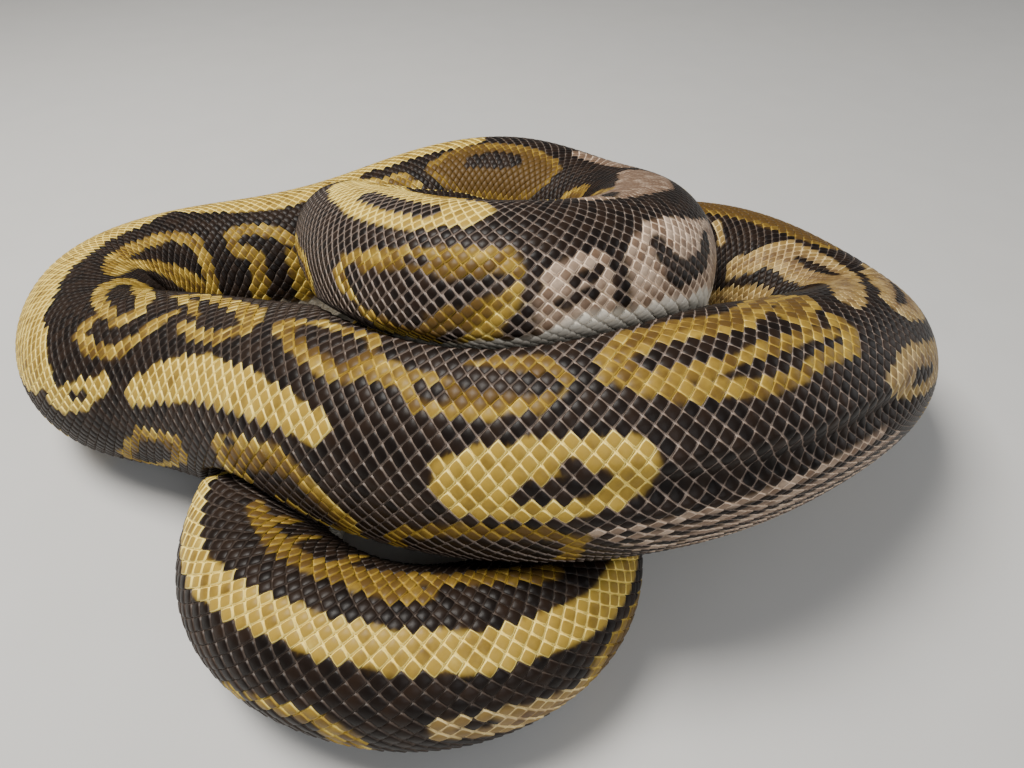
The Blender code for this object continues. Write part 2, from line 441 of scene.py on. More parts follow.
class Kind(Enum):
    """How a marking is coloured: its hue inside and at its rim, how tan it is and how pale."""

    GOLD = (0.60, 0.70, 0.0, 0.0)
    RINGED = (0.20, 0.46, 0.0, 0.0)
    TAN = (0.50, 0.70, 1.0, 0.0)
    PALE = (0.50, 0.70, 1.0, 0.3)
    BROWN = (0.06, 0.32, 0.0, 0.0)
    FAWN = (0.50, 0.70, 0.5, 0.0)
    CREAM = (0.50, 0.70, 1.0, 0.8)
    DARK = (0.0, 0.0, 0.0, 0.0)


GOLD, RINGED, TAN, PALE, BROWN, FAWN, CREAM, DARK = Kind


@dataclass(frozen=True)
class Blotch:
    """One marking, given by places of distance from the snout and angle from the back.

    Attributes:
        kind: How it is coloured. DARK takes other markings away.
        strokes: Lines of places, each with the half width that the line has there.
        outlines: Closed borders of places.
        eyes: Lines like strokes, dark on the marking.
    """

    kind: Kind
    strokes: tuple[Places, ...] = ()
    outlines: tuple[Places, ...] = ()
    eyes: tuple[Places, ...] = ()

    # How far past its places a marking is looked for.
    margin = 14

    def reach(self) -> tuple[float, float]:
        """Return the distances from the snout between which the marking lies."""
        places = [place[0] for line in self.strokes + self.outlines for place in line]
        return min(places) - self.margin, max(places) + self.margin


# The back of the upper turn and its outer flank.
UPPER_TURN = (
    Blotch(GOLD, (
        ((58, 0, 3), (78, 3, 4.5), (92, 6, 5)),
        ((106, 12, 6), (116, 10, 7.5), (130, 10, 9), (148, 10, 9), (156, 8, 6)),
    ), eyes=(
        ((126, 5, 2.2), (138, 3, 2.6), (150, 4, 2.2)),
    )),
    Blotch(TAN, (
        ((186, 23, 5), (196, 17, 6), (208, 9, 6.5), (224, 0, 8), (240, -5, 7)),
        ((256, -8, 3.5), (270, -9, 4.5), (282, -7, 3.5)),
    ), eyes=(
        ((192, 14, 2), (199, 15, 2)),
    )),
    Blotch(RINGED, outlines=(
        ((133, -58), (135, -42), (142, -32), (150, -25), (158, -20), (165, -21), (167, -32), (166.5, -50),
         (165, -66), (163, -80), (158, -95), (141, -95), (143, -82), (141, -70), (136, -66)),
    ), eyes=(
        ((140, -52, 2.4), (144, -60, 3.6), (151, -64, 3.8)),
        ((146, -54, 3.8), (154, -45, 2.6)),
        ((151, -34, 1), (154, -33, 1)),
        ((150, -60, 3.6), (156, -52, 3.0), (161, -45, 2.4), (163.4, -41, 1.8)),
        ((157, -84, 1.6), (159, -72, 1.4)),
    )),
    Blotch(PALE, outlines=(
        ((168, -88), (167.5, -50), (169, -35), (173, -28), (178, -30), (178.4, -55), (177.5, -72),
         (176, -88)),
    ), eyes=(
        ((171, -56, 1.2), (174, -53, 1.4)),
        ((173, -44, 1.3), (176, -42, 1.2)),
    )),
    Blotch(PALE, outlines=(
        ((180.5, -92), (180.5, -40), (183, -28), (188, -21), (195, -23), (201, -32), (208, -41), (216, -48),
         (223, -56), (225, -80), (214, -92)),
    ), eyes=(
        ((188, -36, 1.7), (189, -50, 1.9), (191, -61, 2.8), (200, -64, 2.8), (208, -55, 2)),
    )),
    Blotch(RINGED, (((104, -76, 5), (116, -80, 6)),), eyes=(((106, -77, 1.6), (114, -79, 2)),)),
)
# The bulge at the back, the back's stripe and the loops on the left flank.
LEFT_SIDE = (
    Blotch(BROWN, outlines=(
        ((278, 25), (285, 16), (297, 11), (311, 12), (322, 18), (330, 30), (332, 41), (326, 56), (318, 72),
         (296, 74), (284, 60), (279, 42)),
    ), eyes=(
        ((299, 33, 2.6), (306, 35, 4), (314, 37, 2.8)),
    )),
    Blotch(GOLD, (
        ((318, 2, 5.5), (332, 1, 7), (346, 0, 6.5)),
        ((335, 49, 1.4), (348, 36, 1.8), (362, 11, 1.6)),
    )),
    Blotch(GOLD, (((354, 2, 5), (372, 4, 10), (388, 5, 13), (404, 5, 13), (414, 7, 10.5), (420, 9, 6)),)),
    Blotch(GOLD, (
        ((433, 12, 9), (440, 13, 13), (452, 14, 15.5), (463, 7, 15.5), (474, 1, 11), (482, -2, 5)),
    )),
    Blotch(GOLD, (
        ((488, -14, 3.8), (496, -7, 4.4), (505, 2, 2)),
    ), eyes=(
        ((493, -9, 1.2), (496, -6, 1.2)),
    )),
    Blotch(RINGED, (
        ((386, 66, 2.5), (392, 57, 2.5), (400, 53, 2.5), (407, 58, 2.3), (406, 70, 2.5), (399, 76, 3),
         (400, 92, 3), (402, 108, 3)),
        ((388, 75, 2), (388, 108, 2.5)),
    )),
    Blotch(RINGED, (
        ((418, 102, 3), (418, 80, 3), (420, 64, 3), (428, 57, 2.5), (440, 62, 2.5), (455, 69, 3),
         (464, 73, 2.5)),
        ((464, 74, 2.5), (450, 79, 2.5), (440, 84, 3), (432, 92, 4), (424, 100, 4)),
    )),
    Blotch(RINGED, (
        ((492, 40, 2), (491, 28, 2.2), (497, 19, 2.2), (506, 17, 2.2), (513, 27, 2.4), (517, 42, 2.5),
         (519, 50, 2)),
        ((497, 45, 2.2), (485, 58, 2.4), (475, 72, 3), (470, 85, 3.5), (480, 92, 3), (492, 82, 3),
         (502, 64, 2.6), (506, 48, 2.2), (501, 38, 2)),
    )),
    Blotch(RINGED, (
        ((526, 40, 2), (536, 33, 2.2), (546, 34, 2.6), (552, 45, 3), (546, 58, 3.4), (530, 68, 3),
         (515, 78, 2.6)),
        ((529, 48, 1.4), (520, 60, 1.8), (510, 72, 2)),
    )),
)
# Across the front: the back, the upper flank and the lower flank.
FRONT = (
    Blotch(GOLD, (
        ((516, -4, 3), (522, -1, 4.4), (530, 5, 5.4), (545, 10, 6.2), (560, 10, 5.2), (573, 7, 4.5),
         (582, 3, 3.8)),
    )),
    Blotch(GOLD, (
        ((611, -7, 6.6), (616, -5, 8), (624, -2, 8.6), (632, 1, 7.8)),
    ), eyes=(
        ((620, -8, 1.9), (624, -6, 2.6), (630, -3, 2.4)),
        ((626, 3, 1.4), (628, 3, 1.2)),
    )),
    Blotch(RINGED, (
        ((562, 50, 3), (571, 47, 6.5), (583, 42, 8), (588, 43, 5)),
        ((590, 36, 3.4), (604, 34, 3.2)),
        ((603, 29, 4.6), (614, 37, 7.2), (621, 41, 7)),
    ), eyes=(
        ((570, 50, 2.6), (576, 47, 3.6), (583, 44, 3.8)),
        ((601, 31, 1.5), (605, 30, 1.7)),
        ((606, 42, 2), (613, 40, 3), (620, 39, 3), (624, 39, 2)),
    )),
    Blotch(DARK, (((591, 48, 2), (598, 46, 3), (604, 49, 2.4)),)),
    Blotch(RINGED, (
        ((637, 41, 3.2), (645, 31, 2.4), (658, 27, 2.4), (668, 27, 2), (674, 32, 2), (684, 31, 2.5),
         (688, 40, 2.5), (686, 50, 2.5)),
        ((637, 40, 2), (650, 40, 2), (662, 44, 2), (674, 46, 2), (682, 42, 2)),
        ((635, 44, 3.2), (636, 55, 3.4), (641, 64, 3.8), (650, 68, 4), (662, 66, 4), (672, 76, 4),
         (682, 88, 4), (690, 95, 4)),
        ((678, 60, 5), (688, 75, 5)),
    )),
    Blotch(RINGED, (
        ((503, -58, 6), (518, -42, 8), (533, -33, 5)),
    ), eyes=(
        ((506, -58, 2.8), (516, -45, 4.4), (525, -38, 3.4)),
    )),
    Blotch(RINGED, (
        ((558, -26, 6), (572, -28, 9), (582, -45, 7), (582, -65, 5)),
    ), eyes=(
        ((566, -36, 3.4), (574, -34, 4.4), (580, -50, 3.6)),
        ((557, -17, 1), (560, -16, 1)),
    )),
    Blotch(BROWN, (
        ((594, -65, 2), (597, -42, 2), (607, -31, 2), (620, -27, 2), (627, -33, 2), (625, -52, 2)),
    )),
    Blotch(PALE, (
        ((630, -28, 0.8), (650, -23, 1.1), (672, -20, 1.2), (692, -19, 1.0)),
        ((632, -34, 0.8), (655, -30, 1.2), (680, -28, 1.3), (700, -28, 1.1)),
        ((634, -40, 0.8), (658, -38, 1.2), (684, -37, 1.4), (705, -39, 1.2)),
        ((636, -47, 0.9), (660, -47, 1.3), (686, -47, 1.5), (706, -49, 1.3)),
        ((640, -55, 1.0), (664, -56, 1.4), (688, -58, 1.6), (704, -60, 1.4)),
        ((644, -64, 1.2), (664, -66, 1.6), (688, -68, 1.8)),
    )),
)
# Round the right, and in under the upper turn.
RIGHT_SIDE = (
    Blotch(FAWN, (
        ((694, 6, 3), (704, 4, 6.4), (716, -2, 6.4), (728, -8, 5)),
    ), eyes=(
        ((707, -2, 1.6), (713, -4, 2), (719, -6, 1.4)),
    )),
    Blotch(FAWN, (
        ((720, 38, 6), (732, 35, 9), (745, 28, 8), (754, 18, 5)),
    ), eyes=(
        ((722, 38, 1.2), (735, 34, 1.8), (745, 26, 1.2)),
    )),
    Blotch(FAWN, (
        ((702, 58, 4), (712, 68, 5), (728, 76, 5), (745, 70, 7), (762, 62, 8), (778, 58, 7), (785, 74, 5),
         (792, 84, 4)),
        ((768, 96, 3), (785, 103, 4), (798, 112, 4)),
        ((808, 48, 2), (804, 66, 2)),
    ), eyes=(
        ((745, 66, 1), (758, 62, 2), (770, 58, 1.5)),
    )),
    Blotch(BROWN, (((775, 18, 7), (792, 20, 8.4), (812, 18, 8)),)),
)
# The loop that the tail makes in front.
TAIL_LOOP = (
    Blotch(GOLD, (
        ((936, 8, 4), (960, 10, 4.8), (990, 13, 4.8), (1008, 14, 4.7), (1020, 21, 4.4), (1035, 20, 4.3),
         (1060, 8, 4.2), (1075, 2, 4.1), (1090, -1, 4.1), (1105, 1, 4), (1140, 0, 3), (1172, 0, 0.8)),
    )),
    Blotch(BROWN, (
        ((1005, 67, 2.5), (1015, 68, 2.5), (1028, 64, 3), (1040, 60, 3), (1052, 50, 3.5), (1060, 44, 2.5)),
        ((1040, 66, 2.5), (1055, 62, 2.5), (1068, 56, 2.5), (1078, 50, 3), (1086, 38, 3)),
        ((1010, 74, 1.5), (1011, 88, 2)),
        ((1020, 74, 1.5), (1021, 88, 2)),
        ((1036, 70, 2), (1038, 88, 2)),
    )),
    Blotch(RINGED, (
        ((1027, -40, 2), (1025, -55, 2.5)),
        ((1031, -34, 1.6), (1043, -33, 2.5), (1047, -50, 3.5), (1047, -70, 4)),
    )),
    Blotch(FAWN, (
        ((1063, -42, 4), (1072, -50, 5), (1082, -60, 5)),
    ), eyes=(
        ((1064, -42, 1.2), (1068, -44, 1.2)),
    )),
)
# Loops of hidden flanks: the angle of a loop's top, its lean and half breadth, and the distance to
# the next, each from least to most; then how far they stay from the ends of their stretch.
LOOP_TOP, LOOP_LEAN, LOOP_BREADTH, LOOP_SPACING = (26, 38), (-4, 4), (7.5, 10), (31, 38)
LOOP_START, LOOP_END = 10, 14
# Blotches of the hidden back: their length, how far they wander and the gap to the next, each from
# least to most; their half width at the ends and in the middle, and how far they stay from the ends.
BACK_LENGTH, BACK_WANDER, BACK_GAP = (14, 26), (-8, 8), (13, 20)
BACK_ENDS, BACK_MIDDLE = 4.5, 6.5
BACK_START, BACK_END = 6, 16


def flank_loops(start: float, end: float, side: int, seed: int) -> tuple[Blotch, ...]:
    """Ringed blotches up a flank that the coil mostly hides.

    Args:
        start: Where the first may start.
        end: Where the last ends.
        side: 1 for the coil's inner flank and -1 for the outer one.
        seed: Seed of their small differences.

    Returns:
        The blotches, each with one dark eye, as this species has.
    """
    random = np.random.default_rng(seed)
    made = []
    place = start + LOOP_START
    while place + LOOP_END < end:
        top, lean, broad = (random.uniform(*span) for span in (LOOP_TOP, LOOP_LEAN, LOOP_BREADTH))
        body = ((place - lean, side * 100, broad * 0.8), (place, side * 72, broad * 0.9),
                (place + lean, side * (top + 16), broad),
                (place + lean + 8, side * (top + 20), broad * 0.8))
        eye = ((place - 1, side * (top + 26), 2.6), (place + 5 + lean, side * (top + 20), 3.2))
        made.append(Blotch(RINGED, (body,), eyes=(eye,)))
        place += random.uniform(*LOOP_SPACING)
    return tuple(made)


def back_blotches(start: float, end: float, seed: int) -> tuple[Blotch, ...]:
    """Golden blotches along a stretch of the back that the coil hides.

    Args:
        start: Where the first may start.
        end: Where the last ends.
        seed: Seed of their small differences.

    Returns:
        The blotches, each a short line that wanders to both sides of the back.
    """
    random = np.random.default_rng(seed)
    made = []
    place = start + BACK_START
    while place + BACK_END < end:
        long, shift = random.uniform(*BACK_LENGTH), random.uniform(*BACK_WANDER)
        line = ((place, shift, BACK_ENDS), (place + long / 2, -shift, BACK_MIDDLE),
                (place + long, shift / 2, BACK_ENDS))
        made.append(Blotch(GOLD, (line,)))
        place += long + random.uniform(*BACK_GAP)
    return tuple(made)


def head_stripes(side: int) -> tuple[Blotch, ...]:
    """Return the golden stripe over one eye and the cream of the lips under it."""
    stripe = ((2, side * 34, 0.8), (8, side * 44, 1.0), (16, side * 50, 1.2), (26, side * 52, 1.5),
              (40, side * 50, 1.9), (54, side * 40, 2.4), (66, side * 24, 2.6))
    lip = ((0.5, side * 96, 1.4), (12, side * 90, 1.9), (26, side * 96, 2.1), (39, side * 92, 2.0))
    cheek = ((44, side * 88, 2.0), (58, side * 84, 2.6), (66, side * 96, 2.2))
    return Blotch(GOLD, (stripe,)), Blotch(CREAM, (lip,)), Blotch(CREAM, (cheek,))


# Flanks that the coil mostly hides: start, end, side and seed.
HIDDEN_FLANKS = (
    (60, 104, 1, 3), (104, 262, 1, 4), (228, 492, -1, 5), (336, 382, 1, 6), (712, 966, -1, 7),
    (812, 1000, 1, 8), (1084, 1160, -1, 9), (1094, 1160, 1, 10),
)
BLOTCHES = (
    head_stripes(-1) + head_stripes(1) + UPPER_TURN + LEFT_SIDE + FRONT + RIGHT_SIDE + TAIL_LOOP
    + tuple(blotch for flank in HIDDEN_FLANKS for blotch in flank_loops(*flank))
    + back_blotches(820, 932, 11)
)
# How plainly pale lines show between dark scales, at distances from the snout.
NET = (
    (0, 0.03), (60, 0.10), (95, 0.5), (130, 0.75), (250, 0.7), (300, 0.3), (380, 0.15),
    (500, 0.15), (570, 0.28), (640, 0.9), (700, 1.0), (760, 0.45), (960, 0.2), (1174, 0.2),
)
# Angle from the back at which the flank turns into the cream of the belly.
BELLY_START = (
    (0, 104), (38, 112), (60, 112), (140, 98), (154, 88), (163, 72), (172, 63), (181, 61),
    (190, 68), (200, 80), (215, 86), (240, 104), (500, 112), (900, 112), (1174, 118),
)


class Markings:
    """The colours of the body at any place of it."""

    # Half the width of a marking's soft border, how far the border is drawn in, and the share
    # of a line's half width that this stays under.
    edge = 0.36
    inset = 0.3
    thin_share = 0.3
    # Depth inside the border at which the rim's hue turns into the inner one.
    rim = (1.68, 4.08)
    # Share of cover that already gives a place the marking's own hue.
    touch = 0.3
    # How softly the belly starts, and the waves of its edge: height, two rates and a shift.
    belly_blend = 9
    belly_waves = (4, 0.37, 0.11, 1.3)

    def __init__(self, spine: Spine) -> None:
        """Keep the thickness that turns angles into lengths.

        Args:
            spine: The middle line that the markings follow.
        """
        self.spine = spine

    @staticmethod
    def _to_line(line: Places, along: Array, angle: Array, arc: Array) -> Array:
        """Measure from places to a line of varying half width.

        Args:
            line: Places of the line, with the half width at each.
            along: Distances from the snout.
            angle: Angles from the back.
            arc: Length of one degree round the body.

        Returns:
            How far each place lies outside the line, less than 0 inside it.
        """
        nearest = np.full(along.shape, FAR)
        for (s0, a0, r0), (s1, a1, r1) in zip(line, line[1:]):
            run, rise = s1 - s0, (a1 - a0) * arc
            x, y = along - s0, (angle - a0) * arc
            share = np.clip((x * run + y * rise) / (run * run + rise * rise + TINY), 0, 1)
            gap = np.hypot(x - share * run, y - share * rise) - (r0 + share * (r1 - r0))
            nearest = np.minimum(nearest, gap)
        return nearest

    def _to_border(self, border: Places, along: Array, angle: Array, arc: Array) -> Array:
        """Measure from places to a closed border.

        Args:
            border: Places of the border.
            along: Distances from the snout.
            angle: Angles from the back.
            arc: Length of one degree round the body.

        Returns:
            How far each place lies outside the border, less than 0 inside it.
        """
        inside = np.zeros(along.shape, bool)
        line = [(s, a, 0.0) for s, a in border]
        for (s0, a0, _), (s1, a1, _) in zip(line, line[1:] + line[:1]):
            crosses = (a0 > angle) != (a1 > angle)
            rise = a1 - a0 if a1 != a0 else TINY
            inside ^= crosses & (along < (s1 - s0) * (angle - a0) / rise + s0)
        gap = self._to_line(tuple(line + line[:1]), along, angle, arc)
        return np.where(inside, -gap, gap)

    def at(self, along: Array, angle: Array) -> Array:
        """Work out the markings at some places.

        Args:
            along: Distances from the snout.
            angle: Angles from the back.

        Returns:
            For each place: how much of a marking there is, its hue from brown over
            golden to cream, how tan it is and how pale.
        """
        warm, hue, tan, pale = (np.zeros(along.shape) for _ in range(4))
        arc = self.spine.at("girth", along) * math.pi / 180
        for blotch in BLOTCHES:
            low, high = blotch.reach()
            near = np.flatnonzero((along > low) & (along < high))
            if not near.size:
                continue
            here = along[near], angle[near], arc[near]
            gap = np.full(near.shape, FAR)
            for line in blotch.strokes:
                gap = np.minimum(gap, self._to_line(line, *here))
            for border in blotch.outlines:
                gap = np.minimum(gap, self._to_border(border, *here))
            thin = min((place[2] for line in blotch.strokes for place in line), default=FAR)
            gap = gap + min(self.inset, thin * self.thin_share)
            cover = smooth(self.edge, -self.edge, gap)
            for line in blotch.eyes:
                cover = cover * smooth(-self.edge, self.edge, self._to_line(line, *here))
            self._lay(blotch.kind, near, cover, -gap, (warm, hue, tan, pale))
        high, fast, slow, shift = self.belly_waves
        side = np.abs(angle) + high * np.sin(along * fast) * np.sin(along * slow + shift)
        start = read(BELLY_START, along)
        belly = smooth(start, start + self.belly_blend, side)
        return channels(np.maximum(warm, belly), hue, tan, np.maximum(pale * (1 - belly), belly))

    def _lay(self, kind: Kind, near: Array, cover: Array, depth: Array, shades: tuple[Array, ...]) -> None:
        """Lay one marking over those before it.

        Args:
            kind: How it is coloured.
            near: Which places it is worked out for.
            cover: How much of it is there.
            depth: How far inside its border they lie.
            shades: The coverage, hue, tan and pale to change.
        """
        warm, *others = shades
        if kind is DARK:
            warm[near] *= 1 - cover
            return
        inner, rim, tan, light = kind.value
        tone = rim + (inner - rim) * smooth(*self.rim, depth)
        touched = smooth(0.0, self.touch, cover)
        warm[near] = np.maximum(warm[near], cover)
        for shade, value in zip(others, (tone, tan, light)):
            shade[near] += (value - shade[near]) * touched


# ---------------------------------------------------------------- rows of scales

# Length of a scale along the body, and half the breadth of one, at distances from the snout.
PITCH = (
    (0, 2.0), (44, 2.1), (90, 2.5), (140, 2.8), (250, 2.9), (350, 3.1), (480, 3.1), (530, 3.5),
    (570, 3.9), (650, 3.9), (700, 3.7), (800, 3.7), (940, 4.0), (1040, 4.2), (1090, 3.7),
    (1130, 2.8), (1174, 1.9),
)
ROW = (
    (0, 1.2), (44, 1.25), (90, 1.5), (140, 1.65), (250, 1.7), (350, 1.85), (480, 1.85), (530, 2.0),
    (570, 2.15), (650, 2.15), (700, 2.05), (940, 2.05), (1040, 2.1), (1090, 1.9), (1130, 1.4),
    (1174, 0.85),
)
# The scales end, and the belly's scutes start, at this share of the way from back to belly.
DORSAL_SHARE = 0.85
# Height over the middle line, in girths, at which the length of scales is measured.
CROWN = 0.75
# Where the lower flank of the front is creased, so that its rows lie close together: along the
# body, then each edge's angle and how softly it starts, then how close the rows lie.
CREASE = ((612, 0.0), (650, 1.0), (725, 1.0), (760, 0.0))
CREASE_LOW, CREASE_LOW_BLEND = -78.0, 12
CREASE_HIGH, CREASE_HIGH_BLEND = -18.0, 10
CREASE_SQUEEZE = 0.36


class Lattice:
    """The rows of scales: a count along the body, and a count round it from the back."""

    # Spacing of the table of angles, in rows, and how far before its end places have to lie.
    step = 0.25
    last = 1.001
    # How far scales go past the belly's edge, in rows.
    past_edge = 0.45

    def __init__(self, surface: Surface) -> None:
        """Count scales along and round the surface.

        Args:
            surface: The body's outer surface.
        """
        self.surface = surface
        spine, along, angles = surface.spine, surface.along, surface.angles
        middle, girth, back = spine.ways(along, "middle", "girth", "back")
        crown = middle + CROWN * girth[:, None] * back
        run = np.linalg.norm(np.gradient(crown, axis=0), axis=1) / np.gradient(along)
        self.pitch = read(PITCH, along)
        rate = run / self.pitch
        self.count = running((rate[1:] + rate[:-1]) / 2 * np.diff(along))
        half = np.array([sum(spine.half_sizes(float(place))[:2]) / 2 for place in along])
        inside = smooth(CREASE_LOW - CREASE_LOW_BLEND, CREASE_LOW + CREASE_LOW_BLEND, angles)
        inside = inside * smooth(CREASE_HIGH + CREASE_HIGH_BLEND, CREASE_HIGH - CREASE_HIGH_BLEND, angles)
        squeeze = 1 - (1 - CREASE_SQUEEZE) * read(CREASE, along)[:, None] * inside[None]
        rate = (half / read(ROW, along))[:, None] / squeeze * math.radians(angles[1] - angles[0])
        around = np.array([running(steps) for steps in (rate[:, 1:] + rate[:, :-1]) / 2])
        self.around = around - around[:, [surface.columns // 2]]
        edge = DORSAL_SHARE * 180
        self.right_edge, self.left_edge = (
            np.array([np.interp(angle, angles, values) for values in self.around]) for angle in (-edge, edge))
        reach = math.ceil(float(np.abs(self.around).max())) + 1
        self.rows = np.arange(-reach, reach + self.step, self.step)
        self.turned = np.array([np.interp(self.rows, values, angles) for values in self.around])
        lengthwise = np.gradient(surface.points, axis=0) / np.gradient(along)[:, None, None]
        self.stretch = np.linalg.norm(lengthwise, axis=2) / np.maximum(run[:, None], TINY)

    def along(self, count: Array) -> Array:
        """Return the distances from the snout at which counts of scales are reached."""
        return np.interp(count, self.count, self.surface.along)

    def angle(self, along: Array, row: Array) -> Array:
        """Turn rows into angles.

        Args:
            along: Distances from the snout.
            row: Counts of scales round the body there.

        Returns:
            The angles from the back.
        """
        place, down = self.surface.rows_at(along)
        position = np.clip((row - self.rows[0]) / self.step, 0, len(self.rows) - self.last)
        column = position.astype(int)
        return blend(self.turned, place, down, column, position - column)

    def nearest(self, along: Array, angle: Array) -> tuple[Array, Array]:
        """Find the scale that lies over each place.

        Args:
            along: Distances from the snout.
            angle: Angles from the back.

        Returns:
            The distances and angles of the scales' middles.
        """
        count = np.interp(along, self.surface.along, self.count)
        row = self.surface.lookup(self.around, along, angle)
        best = np.full(along.shape, FAR)
        middles = [np.zeros(along.shape), np.zeros(along.shape)]
        for near in (np.floor(row), np.floor(row) + 1):
            odd = 0.5 * (near % 2)
            ahead = np.rint(count - odd) + odd
            gap = np.abs(count - ahead) / 0.5 + np.abs(row - near)
            middles = [np.where(gap < best, new, old) for new, old in zip((ahead, near), middles)]
            best = np.minimum(best, gap)
        middle = self.along(middles[0])
        return middle, self.angle(middle, middles[1])

    def centres(self, start: float, end: float) -> tuple[Array, Array]:
        """List the scales of one stretch of the body.

        Args:
            start: Distance from the snout at which the stretch starts.
            end: Distance at which it ends.

        Returns:
            The scales' counts along the body and round it.
        """
        known = self.surface.along
        low, high = np.interp((start, end), known, self.count)
        reach = int(self.rows[-1])
        every = np.arange(math.floor(low), math.ceil(high) + 1)
        row, count = np.meshgrid(np.arange(-reach, reach + 1), every)
        row, count = row.ravel().astype(float), count.ravel() + 0.5 * (row.ravel() % 2)
        along = self.along(count)
        left = np.interp(along, known, self.left_edge) - self.past_edge
        right = np.interp(along, known, self.right_edge) + self.past_edge
        kept = (count >= low) & (count < high) & (row < left) & (row > right)
        return count[kept], row[kept]


# ---------------------------------------------------------------- meshes

# How deep the skin lies under the outer surface, and where the head's depth turns into the body's.
SKIN_DEPTH = 0.55
HEAD_SKIN_DEPTH = 0.45
DEPTH_CHANGE = (45, 60)
# The unwrap: the size of each scale's patch, the share of it that is used, the margin kept at the
# edge, and the length of head that the head's plates are spread over.
PATCH = 0.0015
PATCH_FILL = 0.98
MARGIN = 0.002
HEAD_SPAN = 60


def skin_depth(along: Array) -> Array:
    """Return how deep the skin lies at some distances from the snout."""
    return HEAD_SKIN_DEPTH + (SKIN_DEPTH - HEAD_SKIN_DEPTH) * smooth(*DEPTH_CHANGE, along)


def put(name: str, data: bpy.types.ID) -> bpy.types.Object:
    """Put data in the scene, as an object of that name."""
    made = bpy.data.objects.new(name, data)
    bpy.context.scene.collection.objects.link(made)
    return made


def keep(data: bpy.types.Mesh, name: str, values: Array) -> None:
    """Keep four values at each point of a mesh."""
    layer = data.attributes.new(name, "FLOAT_COLOR", "POINT")
    layer.data.foreach_set("color", values.astype(np.float32).ravel())


def written(name: str, mesh: bmesh.types.BMesh) -> tuple[bpy.types.Mesh, Array]:
    """Write a bmesh to a new mesh.

    Args:
        name: The new mesh's name.
        mesh: What is written.

    Returns:
        The new mesh and its points.
    """
    data = bpy.data.meshes.new(name)
    mesh.to_mesh(data)
    flat = np.empty(len(data.vertices) * 3)
    data.vertices.foreach_get("co", flat)
    return data, flat.reshape(-1, 3)


@dataclass
class Shell:
    """Points, faces and markings that become one piece.

    Attributes:
        name: The piece's name.
        points: Where the points are, in millimetres.
        faces: Faces of three or four points each, by number.
        marking: Coverage, hue, tan and pale at each point.
        grain: A random share, how near the scale's edge, the pale net and another random share.
        unwrap: Where each point is on the skin's unwrap.
    """

    name: str
    points: Array
    faces: Array
    marking: Array
    grain: Array
    unwrap: Array

    def build(self) -> bpy.types.Object:
        """Write the piece's mesh, with its markings and its unwrap.

        Returns:
            The piece, in the scene.
        """
        faces = self.faces.reshape(-1, self.faces.shape[-1])
        points = self.points.reshape(-1, 3)
        data = bpy.data.meshes.new(self.name)
        data.vertices.add(len(points))
        data.vertices.foreach_set("co", (points * MM).astype(np.float32).ravel())
        data.loops.add(faces.size)
        data.loops.foreach_set("vertex_index", faces.ravel())
        data.polygons.add(len(faces))
        data.polygons.foreach_set("loop_start", np.arange(len(faces)) * faces.shape[1])
        data.update(calc_edges=True)
        data.shade_smooth()
        keep(data, "marking", self.marking)
        keep(data, "grain", self.grain)
        chart = data.uv_layers.new(name="OFBake")
        unwrap = self.unwrap.reshape(-1, 2)[faces.ravel()]
        chart.data.foreach_set("uv", unwrap.astype(np.float32).ravel())
        return put(self.name, data)


class Plate:
    """One scale as a unit disc: rings of points from the rim to a raised middle."""

    def __init__(self, segments: int, rings: tuple[float, ...]) -> None:
        """Draw the disc with bmesh and keep its points and triangles.

        Args:
            segments: Points round each ring.
            rings: The rings' radii, from the rim inwards.
        """
        mesh = bmesh.new()
        bmesh.ops.create_circle(mesh, cap_ends=True, radius=1.0, segments=segments)
        face = next(iter(mesh.faces))
        for outer, inner in zip(rings, rings[1:]):
            inwards = (outer - inner) * math.cos(math.pi / segments)
            bmesh.ops.inset_individual(mesh, faces=[face], thickness=inwards, use_even_offset=True)
        bmesh.ops.poke(mesh, faces=[face])
        bmesh.ops.triangulate(mesh, faces=mesh.faces)
        mesh.verts.ensure_lookup_table()
        points = np.array([vert.co[:2] for vert in mesh.verts])
        self.faces = np.array([[vert.index for vert in face.verts] for face in mesh.faces])
        mesh.free()
        first, second, third = (points[self.faces[:, corner]] for corner in range(3))
        (x, y), (z, w) = (second - first).T, (third - first).T
        backwards = x * w - y * z < 0
        self.faces[backwards] = self.faces[backwards][:, ::-1]
        self.radius = np.linalg.norm(points, axis=1)
        self.direction = points / np.maximum(self.radius, TINY)[:, None]

    def outline(self, power: float) -> Array:
        """Return the points spread to a superellipse of a given power, 1 being a diamond."""
        reach = (np.abs(self.direction) ** power).sum(axis=1) ** (1 / power)
        return self.direction * (self.radius / np.maximum(reach, TINY))[:, None]

    def copies(self, count: int) -> Array:
        """Return the triangles of as many copies of the disc, one after another."""
        return self.faces[None] + (np.arange(count) * len(self.radius))[:, None, None]


@dataclass
class Layer:
    """A layer of the hide, and what it follows.

    Attributes:
        surface: The body's outer surface.
        lattice: Where the rows of scales run.
        markings: The colours of the body.
    """

    surface: Surface
    lattice: Lattice
    markings: Markings


